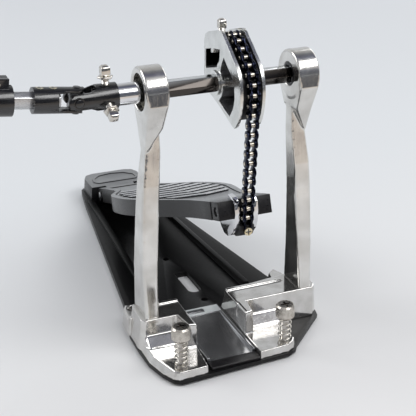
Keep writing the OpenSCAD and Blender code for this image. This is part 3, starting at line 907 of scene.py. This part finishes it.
@dataclass
class Casting(Assembly):
    """The polished feet, blocks and uprights.

    The pad is the milled strip on the clamp plate, and its pocket's corners are x and y.
    """

    block_grid_mm: float = 0.45
    column_grid_mm: float = 0.55
    keep: float = 0.4
    pad_margin: float = 0.8
    pad_far_edge: float = 9.6
    pad_depth: float = 0.5
    pad_proud: float = 0.03
    pocket_low: Pair = (8.0, -22.0)
    pocket_high: Pair = (21.0, -16.5)
    pocket_depth: float = 3.0
    pocket_round: float = 0.8

    def build(self) -> None:
        """Makes the castings, the clamp between them and their screws."""
        for node in ("block_drive", "block_far"):
            self.recast(node, CAST_ALUMINIUM, self.block_grid_mm, softening=3, keep=self.keep)
        for node in ("upright_drive", "upright_far"):
            self.recast(node, CAST_COLUMN, self.column_grid_mm, softening=5, keep=self.keep)
        self.renew("clamp_plate", CAST_SATIN, width_mm=0.7, steps=3)
        self.clamp_pad()
        self.renew("clamp_core", BLACK_NYLON, width_mm=0.3)
        self.renew("block_screws", BLACK_NICKEL_AND_DARK_REFLECTION, width_mm=0.2)

    def clamp_pad(self) -> None:
        """Lays the milled strip along the clamp plate's back edge, round its pocket."""
        low, high = (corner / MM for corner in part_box("clamp_plate"))
        edge, deep = self.pad_margin, self.pocket_depth
        pad = block_form(
            (low.x + edge, low.y + edge, high.z - self.pad_depth),
            (high.x - edge, low.y + self.pad_far_edge, high.z + self.pad_proud),
        )
        pocket = block_form((*self.pocket_low, high.z - deep), (*self.pocket_high, high.z + deep))
        pocket = softened(pocket, self.pocket_round, degrees=60)
        piece = carved(object_from("clamp_pad", pad), pocket)
        self.dresser.put(piece, MILLED_ALUMINIUM, body=self.dresser.body_of("clamp_plate"))


@dataclass
class Bearings(Assembly):
    """Races, balls and the retaining ring."""

    def build(self) -> None:
        """Dresses the bearing parts."""
        # The races and balls are drawn dark: painted shade for the inside of the bore.
        self.renew("bearing_outer_races", BEARING_STEEL, width_mm=0.25)
        self.renew("bearing_inner_races", BEARING_STEEL, width_mm=0.2)
        self.renew("bearing_shields", BLACK_NYLON, width_mm=0.15)
        self.renew("retaining_ring", BLACK_OXIDE_AND_SHADOW, width_mm=0.15)
        self.dresser.dress("bearing_balls", BEARING_STEEL)


@dataclass
class Heel(Assembly):
    """The heel plate, its pin and its screws."""

    def build(self) -> None:
        """Makes the heel."""
        self.renew("heel_plate", GUNMETAL, width_mm=1.4, steps=3)
        self.renew("heel_pin", BRIGHT_STEEL, width_mm=0.4)
        self.renew("heel_screws", BRIGHT_STEEL, width_mm=0.2)


@dataclass
class Spurs(Assembly):
    """The two spur screws with their springs.

    Head_foot and head_top give the head's profile: how far in from its radius, and how far up from
    its neck or down from its end.
    """

    wire_mm: float = 0.5
    wire_sides: int = 14
    curls: float = 4.5
    rings_per_curl: int = 32
    point: Pair = (0.6, 2.6)
    taper_top: float = 3.8
    thread_start: float = 4.0
    thread_radius: float = 3.0
    thread_pitch: float = 1.0
    overlap: float = 1.0
    head_mm: float = 9.0
    head_foot: tuple[Pair, ...] = ((0.6, 0.0), (0.0, 0.5), (0.0, 0.9))
    head_top: tuple[Pair, ...] = ((0.0, 1.5), (0.05, 1.1), (0.9, 0.0))
    knurls: int = 44
    knurled: tuple[int, ...] = (3, 4)
    knurl_depth: float = 0.28
    end_inset: float = 1.4
    end_depth: float = 1.0
    end_proud: float = 0.04
    key_arm: float = 6.6
    key_width: float = 1.5
    key_depth: float = 1.2

    def build(self) -> None:
        """Makes both spurs."""
        for side in ("drive", "far"):
            self.screw(side)
            self.spring(side)

    def screw(self, side: str) -> None:
        """Turns one screw: a pointed, threaded shank under a knurled head with a cross recess.

        Args:
            side: drive or far.
        """
        node = f"spur_screw_{side}"
        low, high = (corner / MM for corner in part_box(node))
        place = shift((low.x + high.x) / 2, (low.y + high.y) / 2, 0)
        radius, top = (high.x - low.x) / 2, high.z
        neck = top - self.head_mm
        tip, step = self.point
        shank_top = neck + self.overlap
        crests = thread(self.thread_radius, self.thread_start, shank_top, self.thread_pitch)
        shank = turned(
            [(0, low.z), (tip, low.z), (step, self.taper_top), *crests, (0, shank_top)], sides=32
        )
        foot = [(radius - inward, neck + up) for inward, up in self.head_foot]
        crown = [(radius - inward, top - down) for inward, down in self.head_top]
        profile = [(0, neck), *foot, *crown, (0, top)]
        head = turned(profile, 2 * self.knurls, self.knurled, self.knurl_depth)
        end = bar(radius - self.end_inset, top - self.end_depth, top + self.end_proud)
        for form in (shank, head, end):
            form.transform(place)
        body = self.dresser.body_of(node)
        put = self.dresser.put
        head = object_from(f"{node}_head", head, smooth_degrees=50)
        put(carved(head, self.recess(place, top)), SATIN_NICKEL, node)
        put(object_from(f"{node}_shank", shank), NICKEL_PLATE, body=body)
        # The end disc is drawn darker than the head: a painted dark reflection.
        end = object_from(f"{node}_end", end)
        put(carved(end, self.recess(place, top)), BLACK_NICKEL_AND_DARK_REFLECTION, body=body)

    def recess(self, place: Matrix, top: float) -> Form:
        """Makes the form that is cut out for a key in a screw's end.

        Args:
            place: where the screw's axis is.
            top: the height of its end, in mm.

        Returns:
            The form, in metres.
        """
        form = cross_form(self.key_arm, self.key_width, top - self.key_depth, top + self.overlap)
        form.transform(place)
        return form

    def spring(self, side: str) -> None:
        """Winds one spring in the room of its frame node.

        Args:
            side: drive or far.
        """
        node = f"spur_spring_{side}"
        low, high = (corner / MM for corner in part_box(node))
        centre = (low + high) / 2
        radius = (high.x - low.x) / 2 - self.wire_mm
        bottom, top = low.z + self.wire_mm, high.z - self.wire_mm
        count = round(self.curls * self.rings_per_curl)
        path = []
        for i in range(count + 1):
            angle = 2 * math.pi * self.curls * i / count
            x, y = centre.x + radius * math.cos(angle), centre.y + radius * math.sin(angle)
            path.append(Vector((x, y, bottom + (top - bottom) * i / count)))
        form = swept(path, round_section(self.wire_mm, self.wire_sides), Vector((0, 0, 1)))
        piece = self.dresser.put(object_from(f"{node}_wound", form), SPRING_WIRE, node)
        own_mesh(piece)


@dataclass
class Board(Assembly):
    """The footboard with its grip bars."""

    def build(self) -> None:
        """Makes the board."""
        self.renew("footboard", GUNMETAL, width_mm=1.1, steps=3)
        self.renew("board_ribs", BARE_BARS, width_mm=0.3)


@dataclass
class Anchor(Assembly):
    """The toe bar and the clamp that holds the chain's end."""

    cross_arm: float = 3.9
    cross_width: float = 0.8

    def build(self) -> None:
        """Makes the anchor."""
        self.renew("toe_bar", BLACK_NYLON, width_mm=1.3, steps=3)
        self.renew("toe_set_screws", BRIGHT_STEEL, width_mm=0.2)
        self.renew("anchor_cheeks", CHROME_PLATE, width_mm=0.6, steps=3)
        self.renew("anchor_core", BLACK_NYLON, width_mm=0.3)
        self.renew("chain_screw", YELLOW_ZINC, width_mm=0.2)
        low, high = (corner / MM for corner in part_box("chain_screw"))
        place = shift((low.x + high.x) / 2, high.y, (low.z + high.z) / 2) @ turn(-90, "X")
        self.slots(
            "chain_screw_slots", [place], self.cross_arm, self.cross_width, "anchor_cheeks"
        )


@dataclass(frozen=True)
class KeyBolt:
    """A bolt for a drum key, along z from the face that it is screwed into, in mm.

    Nut is the lock nut's radius across its corners, square the head's width across its flats, and
    low and high are the head's ends. Head_foot and head_top give the head's profile: the share of
    its radius, and how far up from its lower end or down from its upper one.
    """

    nut: float
    nut_low: float
    nut_high: float
    low: float
    high: float
    square: float
    thread_radius: float = 2.35
    thread_pitch: float = 0.8
    sunk: float = 1.0
    overlap: float = 0.4
    nut_face: float = 0.88
    nut_chamfer: float = 0.35
    nut_round: float = 0.2
    head_foot: tuple[Pair, ...] = ((0.8, 0.0), (1.0, 0.7))
    head_top: tuple[Pair, ...] = ((1.0, 1.3), (0.66, 0.3), (0.4, 0.0))
    head_round: float = 0.5

    def form(self) -> Form:
        """Makes the bolt.

        Returns:
            Its form, in metres.
        """
        top = self.low + self.overlap
        crests = thread(self.thread_radius, -self.sunk, top, self.thread_pitch)
        form = turned([(0, -self.sunk), *crests, (0, top)], sides=24)
        face, cut = self.nut * self.nut_face, self.nut_chamfer
        collar = turned([
            (0, self.nut_low), (face, self.nut_low), (self.nut, self.nut_low + cut),
            (self.nut, self.nut_high - cut), (face, self.nut_high), (0, self.nut_high),
        ], sides=6)
        half = self.square / math.sqrt(2)
        foot = [(half * share, self.low + up) for share, up in self.head_foot]
        crown = [(half * share, self.high - down) for share, down in self.head_top]
        head = turned([(0, self.low), *foot, *crown, (0, self.high)], sides=4)
        add_form(form, softened(collar, self.nut_round), Matrix())
        add_form(form, softened(head, self.head_round), turn(45, "Z"))
        collar.free()
        head.free()
        return form


@dataclass
class Cam(Assembly):
    """The cam on its axle.

    The windows run along x from their floor to their end, and their outlines are y and z about the
    axle.
    """

    axle_height: float = 179.0
    hex_half: float = 44.6
    hex_width: float = 10.0
    journal: float = 6.7
    hex_round: float = 0.3
    overlap: float = 0.4
    journal_chamfer: float = 0.3
    bolt: KeyBolt = KeyBolt(nut=3.6, nut_low=0.0, nut_high=1.4, low=4.4, high=10.8, square=4.8)
    window_floor: float = -7.6
    window_end: float = 5.9
    openings: tuple[tuple[Pair, ...], ...] = (
        ((-18.6, 5.6), (-17.4, 4.8), (-0.4, 9.6), (0.4, 11.8), (3.4, 14.6), (4.4, 22), (-6.3, 20.2),
         (-6.5, 17.4), (-9.5, 16.8), (-9.7, 19.4), (-18.6, 17)),
        ((10.2, 18.4), (23, 8.9), (24.3, 7.4), (8.4, 3.4), (6.2, 6.6), (4.9, 9.2), (7.2, 14.2)),
        ((9.2, 0.4), (26.2, 4.5), (26.8, -3), (24.8, -9.6), (19.6, -16.2), (13.6, -14.6),
         (2.4, -11.2), (6.6, -7.2), (8.6, -3.4)),
    )

    def build(self) -> None:
        """Makes the cam, its bed, its bolt and the axle."""
        self.renew("cam", CAM_ALUMINIUM, width_mm=0.75, steps=3)
        self.renew("cam_bed", BLACK_NYLON, width_mm=0.15)
        self.windows()
        self.axle()
        low, high = (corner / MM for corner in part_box("cam_key_bolt"))
        form = self.bolt.form()
        form.transform(
            shift((low.x + high.x) / 2, (low.y + high.y) / 2, high.z - self.bolt.high)
        )
        self.dresser.put(object_from("cam_key_bolt_finished", form), NICKEL_PLATE, "cam_key_bolt")

    def windows(self) -> None:
        """Lines the walls of the cam's windows with a darker skin, as painted shade."""
        form = bmesh.new()
        for outline in self.openings:
            one = sleeve(list(outline), self.window_end - self.window_floor)
            add_form(form, one, shift(self.window_floor, 0, self.axle_height))
            one.free()
        # Painted shade: the lining darkens the window walls.
        piece = object_from("cam_window_shade_linings", form)
        self.dresser.put(piece, WINDOW_SHADE_ALUMINIUM, body=self.dresser.body_of("cam"))

    def axle(self) -> None:
        """Makes the axle: a hexagonal bar between two round journals."""
        low, high = (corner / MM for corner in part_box("hex_axle"))
        lie = shift(0, 0, self.axle_height) @ turn(90, "Y")
        half = self.hex_half
        form = bar(self.hex_width / math.sqrt(3), -half, half, sides=6)
        form.transform(lie @ turn(30, "Z"))
        piece = rounded(object_from("hex_axle_bar", form), self.hex_round)
        self.dresser.put(piece, AXLE_STEEL, "hex_axle")
        journals = bmesh.new()
        inner, cut = half - self.overlap, self.journal_chamfer
        for start, end in ((low.x, -inner), (inner, high.x)):
            one = bar(self.journal, start, end, cut, cut, sides=64)
            add_form(journals, one, lie)
            one.free()
        piece = object_from("axle_journals", journals)
        self.dresser.put(piece, CHROME_PLATE, body=self.dresser.body_of("hex_axle"))


@dataclass
class Chain(Assembly):
    """Roller chain: the first pins hang, and the rest lie on the cam.

    Places are y and z about the axle, by the same rule as the frame's own chain: straight up from
    the tip, round the cam's nose and straight along its flank, with one last link along the crest.
    The middle is the chain's place along the axle.
    """

    pitch: float = 6.35
    middle: float = -2.0
    axle_height: float = 179.0
    tip: Pair = (29.0, -81.5)
    lean_degrees: float = 5.09
    nose: Pair = (16.9, 1.45)
    nose_radius: float = 19.4
    bend_degrees: float = 54.13
    flank: Pair = (-0.8104, 0.5859)
    crest: Pair = (-0.92, 0.39)
    hanging_pins: int = 14
    all_pins: int = 21
    plate_thick: float = 0.8
    outer_plate: float = 2.7
    inner_plate: float = 1.6
    plate_radius: float = 2.95
    plate_waist: float = 1.75
    plate_steps: int = 14
    waist_degrees: float = 52.0
    plate_round: float = 0.2
    pin_half: float = 4.1
    pin_radius: float = 1.15
    roller_half: float = 1.55
    roller_radius: float = 1.65
    chamfer: float = 0.15
    pins: dict[int, Vector] = field(default_factory=dict)

    def build(self) -> None:
        """Places the pins, then makes plates and pins for both stretches."""
        self.place_pins()
        hanging = range(self.hanging_pins)
        lying = range(self.hanging_pins, self.all_pins)
        put = self.dresser.put
        put(self.plates("chain_hanging_plates", hanging), BLUED_STEEL, "chain_run")
        put(self.plates("chain_cam_plates", lying[:-1]), BLUED_STEEL, "cam_chain")
        end = self.plates("chain_end_plates", range(-1, 0))
        put(end, BLUED_STEEL, body=self.dresser.body_of("anchor_cheeks"))
        put(self.rollers("chain_hanging_rollers", hanging), ROLLER_STEEL, body="chain")
        put(self.rollers("chain_cam_rollers", lying), ROLLER_STEEL, body="axle")

    def place_pins(self) -> None:
        """Works out where each pin's axis is."""
        last = self.all_pins - 2
        self.pins = {k: self.line_at(k * self.pitch) for k in range(-1, last + 1)}
        self.pins[last + 1] = self.pins[last] + self.pitch * Vector(self.crest)

    def line_at(self, length: float) -> Vector:
        """Finds a point of the chain's line.

        Args:
            length: how far along the line it is from the tip.

        Returns:
            The point.
        """
        lean, bend = math.radians(self.lean_degrees), math.radians(self.bend_degrees)
        tip = Vector(self.tip)
        straight = (self.on_nose(-lean) - tip).length
        angle = (length - straight) / self.nose_radius - lean
        if length < straight:
            return tip + length * Vector((math.sin(lean), math.cos(lean)))
        if angle < bend:
            return self.on_nose(angle)
        return self.on_nose(bend) + (angle - bend) * self.nose_radius * Vector(self.flank)

    def on_nose(self, angle: float) -> Vector:
        """The chain line's point round the cam's nose, at an angle in radians."""
        return Vector(self.nose) + self.nose_radius * Vector((math.cos(angle), math.sin(angle)))

    def outline(self) -> list[Pair]:
        """Draws one plate's waisted outline, from the first pin along y.

        Returns:
            Its points.
        """
        start = math.radians(self.waist_degrees)
        sweep = 2 * math.pi - 2 * start
        points = []
        for centre, first, waist in (
            (0.0, start, -self.plate_waist), (self.pitch, math.pi + start, self.plate_waist)
        ):
            for k in range(self.plate_steps + 1):
                angle = first + sweep * k / self.plate_steps
                y, z = self.plate_radius * math.cos(angle), self.plate_radius * math.sin(angle)
                points.append((centre + y, z))
            points.append((self.pitch / 2, waist))
        return points

    def plates(self, name: str, links: range) -> Piece:
        """All plates of one stretch as one piece.

        Args:
            name: the piece's name.
            links: the number of each link's first pin.

        Returns:
            The piece.
        """
        one = softened(plate(self.outline(), self.plate_thick), self.plate_round, degrees=60)
        form = bmesh.new()
        for k in links:
            start, end = Vector(self.pins[k]), Vector(self.pins[k + 1])
            tilt = math.atan2(end.y - start.y, end.x - start.x)
            gap = self.inner_plate if (k - self.hanging_pins) % 2 else self.outer_plate
            for x in (self.middle + gap, self.middle - gap - self.plate_thick):
                place = shift(x, start.x, self.axle_height + start.y)
                add_form(form, one, place @ Matrix.Rotation(tilt, 4, "X"))
        one.free()
        return object_from(name, form)

    def rollers(self, name: str, pins: range) -> Piece:
        """The pins and rollers of one stretch as one piece.

        Args:
            name: the piece's name.
            pins: the pins' numbers.

        Returns:
            The piece.
        """
        cut = self.chamfer
        pin = bar(self.pin_radius, -self.pin_half, self.pin_half, cut, cut, sides=20)
        roller = bar(self.roller_radius, -self.roller_half, self.roller_half, cut, cut, sides=24)
        form = bmesh.new()
        for k in pins:
            place = shift(self.middle, self.pins[k].x, self.axle_height + self.pins[k].y)
            for one in (pin, roller):
                add_form(form, one, place @ turn(90, "Y"))
        pin.free()
        roller.free()
        return object_from(name, form)


@dataclass
class Joints(Assembly):
    """The universal joints and the telescoping shaft between them.

    Cap is the profile of a pin's head: radius, and height from the joint's centre.
    """

    near: Triple = (97.0, 0.0, 179.0)
    length: float = 200.0
    tilt_degrees: float = 6.5
    key_back: float = -18.5
    yoke_radius: float = 8.0
    key_turns: Pair = (0.0, 120.0)
    bolt: KeyBolt = KeyBolt(nut=5.0, nut_low=3.3, nut_high=4.7, low=5.0, high=11.3, square=5.6)
    set_screws: Pair = (14.2, 22.2)
    screw_top: float = 7.7
    cross_arm: float = 3.4
    cross_width: float = 1.0
    cap: tuple[Pair, ...] = (
        (0, 7.2), (3.4, 7.2), (3.4, 8.25), (2.9, 8.3), (2.8, 8.0), (2.6, 8.0), (2.5, 8.9),
        (2.1, 9.15), (0, 9.2),
    )

    def build(self) -> None:
        """Makes both joints and the shaft."""
        for node in ("axle_yoke", "shaft_yoke", "tube_yoke", "far_yoke"):
            self.renew(node, BLACK_OXIDE_AND_SHADOW, width_mm=0.5, steps=3)
        for node in ("near_cross", "far_cross"):
            self.renew(node, BLACK_OXIDE_AND_SHADOW, width_mm=0.25)
        near, tilt = Vector(self.near), math.radians(self.tilt_degrees)
        far = near + self.length * Vector((math.cos(tilt), 0, math.sin(tilt)))
        self.bolts("axle_key_bolts", near, self.key_back)
        self.bolts("far_key_bolts", far, -self.key_back)
        self.renew("shaft_set_screws", YELLOW_ZINC, width_mm=0.15)
        lie = shift(*self.near) @ turn(-self.tilt_degrees, "Y")
        places = [lie @ shift(back, 0, self.screw_top) for back in self.set_screws]
        self.slots(
            "set_screw_slots", places, self.cross_arm, self.cross_width, "shaft_set_screws"
        )
        self.renew("hex_rod", SATIN_CHROME, width_mm=0.5)
        self.pin_heads("near", near)
        self.pin_heads("far", far)
        self.renew("outer_tube", BLACK_OXIDE_AND_SHADOW, width_mm=0.3)
        self.renew("clamp_collar", BLACK_OXIDE_AND_SHADOW, width_mm=0.5, steps=3)
        self.renew("clamp_bolt", NICKEL_PLATE, width_mm=0.2)

    def bolts(self, node: str, centre: Vector, back: float) -> None:
        """Makes the two key bolts of an end yoke.

        Args:
            node: the bolts' frame node.
            centre: the joint's centre, in mm.
            back: how far along x the bolts stand from it.
        """
        one = self.bolt.form()
        form = bmesh.new()
        foot = shift(centre.x + back, centre.y, centre.z)
        for degrees in self.key_turns:
            add_form(form, one, foot @ turn(-degrees, "X") @ shift(0, 0, self.yoke_radius))
        one.free()
        self.dresser.put(object_from(f"{node}_finished", form), NICKEL_PLATE, node)

    def pin_heads(self, name: str, centre: Vector) -> None:
        """Caps the pins that stand across an end yoke's ears, with a dark groove round each cap.

        Args:
            name: near or far.
            centre: the joint's centre, in mm.
        """
        one = turned(list(self.cap))
        form = bmesh.new()
        for degrees in (-90, 90):
            add_form(form, one, shift(*centre) @ turn(degrees, "X"))
        one.free()
        body = self.dresser.body_of(f"{name}_cross")
        self.dresser.put(object_from(f"{name}_pin_heads", form), BLACK_OXIDE_AND_SHADOW, body=body)


@dataclass(frozen=True)
class SoftBox:
    """A wide lamp that faces the pedal, with its place and size in metres.

    Its level is its brightness, where a white floor in full light has 1.
    """

    name: str
    place: Triple
    size: Pair
    level: float
    aim: Triple = (0.0, 0.0, 0.1)

    def hang(self) -> None:
        """Adds the lamp."""
        data = bpy.data.lights.new(self.name, "AREA")
        data.shape = "RECTANGLE"
        data.size, data.size_y = self.size
        data.energy = self.level * math.pi * self.size[0] * self.size[1]
        lamp = bpy.data.objects.new(self.name, data)
        bpy.context.scene.collection.objects.link(lamp)
        lamp.location = self.place
        aim = Vector(self.aim) - Vector(self.place)
        lamp.rotation_euler = aim.to_track_quat("-Z", "Y").to_euler()


@dataclass(frozen=True)
class Studio:
    """The camera, the pale floor and the soft light."""

    azimuth: float = 157.42
    elevation: float = 23.7
    roll: float = -0.18
    position: Triple = (0.24825, 0.56683, 0.36435)
    focal_pixels: float = 1027.32
    centre_pixels: Pair = (208.21, 207.91)
    sensor_mm: float = 36.0
    clip: Pair = (0.01, 50.0)
    lamps: tuple[SoftBox, ...] = (
        SoftBox("key", (-0.64, 0.88, 1.27), (1.6, 0.62), 4.7),
        SoftBox("drive_side", (1.9, -0.9, 1.3), (1.6, 1.2), 4.2),
        SoftBox("far_side", (-1.9, -1.2, 1.3), (1.6, 1.2), 1.9),
    )
    floor_radius: float = 9.0
    floor_sides: int = 64
    floor_roughness: float = 0.8
    floor_span: Pair = (-2.0, 2.0)
    floor_colours: Stops = (
        (-1.6, "#e6e9ec"), (-0.3, "#e0e3e5"), (0.1, "#e2e2e2"), (0.22, "#e6e5e4"),
        (0.36, "#dbd2c9"), (0.8, "#d4c9be"), (1.1, "#62646a"),
    )
    sky: Stops = (
        (0, "#d4d7da"), (36, "#cfd1d3"), (50, "#bcbcbc"), (60, "#b0b0b0"), (70, "#84868c"),
        (80, "#6b6d76"), (92, "#63667a"), (101, "#8a8c98"), (108, "#d0d0d2"), (142, "#d0d0d2"),
        (148, "#b8b7b8"), (157, "#787b86"), (168, "#5e6068"), (180, "#66696f"),
    )

    def build(self) -> None:
        """Makes the whole studio."""
        self.camera()
        self.floor()
        self.world()
        for lamp in self.lamps:
            lamp.hang()
        bpy.context.scene.view_settings.view_transform = "Standard"

    def camera(self) -> None:
        """Sets the camera where the photograph was taken."""
        a, e, r = (math.radians(v) for v in (self.azimuth, self.elevation, self.roll))
        back = Vector((math.sin(a) * math.cos(e), -math.cos(a) * math.cos(e), math.sin(e)))
        level = Vector((0, 0, 1)).cross(back).normalized()
        upward = back.cross(level)
        right = level * math.cos(r) + upward * math.sin(r)
        up = upward * math.cos(r) - level * math.sin(r)
        data = bpy.data.cameras.new("camera")
        data.sensor_width = self.sensor_mm
        data.lens = self.sensor_mm * self.focal_pixels / PICTURE_PIXELS
        across, down = self.centre_pixels
        data.shift_x = (PICTURE_PIXELS / 2 - across) / PICTURE_PIXELS
        data.shift_y = (down - PICTURE_PIXELS / 2) / PICTURE_PIXELS
        data.clip_start, data.clip_end = self.clip
        camera = bpy.data.objects.new("camera", data)
        bpy.context.scene.collection.objects.link(camera)
        place = Matrix((right, up, back)).transposed().to_4x4()
        place.translation = Vector(self.position)
        camera.matrix_world = place
        bpy.context.scene.camera = camera

    def floor(self) -> None:
        """Lays a wide pale floor, cooler behind the pedal and warmer before it."""
        form = bmesh.new()
        bmesh.ops.create_circle(
            form, cap_ends=True, radius=self.floor_radius, segments=self.floor_sides
        )
        piece = object_from("studio_floor", form)
        material = bpy.data.materials.new("studio_floor")
        material.use_nodes = True
        tree = material.node_tree
        shader = tree.nodes["Principled BSDF"]
        shader.inputs["Roughness"].default_value = self.floor_roughness
        shader.inputs["Specular IOR Level"].default_value = 0.0
        place = add_node(tree, "ShaderNodeTexCoord").outputs["Object"]
        depth = add_node(tree, "ShaderNodeSeparateXYZ", links={"Vector": place}).outputs["Y"]
        low, high = self.floor_span
        span = {"From Min": low, "From Max": high}
        share = add_node(tree, "ShaderNodeMapRange", span, {"Value": depth}).outputs["Result"]
        stops = tuple(((y - low) / (high - low), code) for y, code in self.floor_colours)
        ramp = add_node(tree, "ShaderNodeValToRGB", links={"Fac": share}, stops=stops)
        tree.links.new(ramp.outputs["Color"], shader.inputs["Base Color"])
        piece.data.materials.append(material)

    def world(self) -> None:
        """Lights the scene from a pale room with a dark ceiling over the pedal.

        The colour follows the angle round the x axis, from the horizon behind the pedal over the
        ceiling to the horizon before it.
        """
        world = bpy.data.worlds.new("studio")
        bpy.context.scene.world = world
        world.use_nodes = True
        tree = world.node_tree
        tree.nodes.clear()
        place = add_node(tree, "ShaderNodeTexCoord").outputs["Generated"]
        parts = add_node(tree, "ShaderNodeSeparateXYZ", links={"Vector": place})
        flip = {"operation": "MULTIPLY", 1: -1.0}
        behind = add_node(tree, "ShaderNodeMath", flip, {0: parts.outputs["Y"]}).outputs[0]
        sides = {0: parts.outputs["Z"], 1: behind}
        angle = add_node(tree, "ShaderNodeMath", {"operation": "ARCTAN2"}, sides).outputs[0]
        half_turn = {"From Max": math.pi}
        share = add_node(tree, "ShaderNodeMapRange", half_turn, {"Value": angle}).outputs["Result"]
        stops = tuple((degrees / 180, code) for degrees, code in self.sky)
        ramp = add_node(tree, "ShaderNodeValToRGB", links={"Fac": share}, stops=stops)
        colour = ramp.outputs["Color"]
        lit = add_node(tree, "ShaderNodeBackground", {"Strength": 1.0}, {"Color": colour})
        add_node(tree, "ShaderNodeOutputWorld", links={"Surface": lit.outputs[0]})


def main() -> None:
    """Builds every sub-assembly in order."""
    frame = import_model()
    Studio().build()
    dresser = Dresser(frame)
    for kind in (Base, Casting, Bearings, Heel, Spurs, Board, Anchor, Cam, Chain, Joints):
        LOG.info("building %s", kind.__name__)
        kind(dresser).build()


if __name__ == "__main__":
    logging.basicConfig(level=logging.INFO, format="%(message)s")
    main()
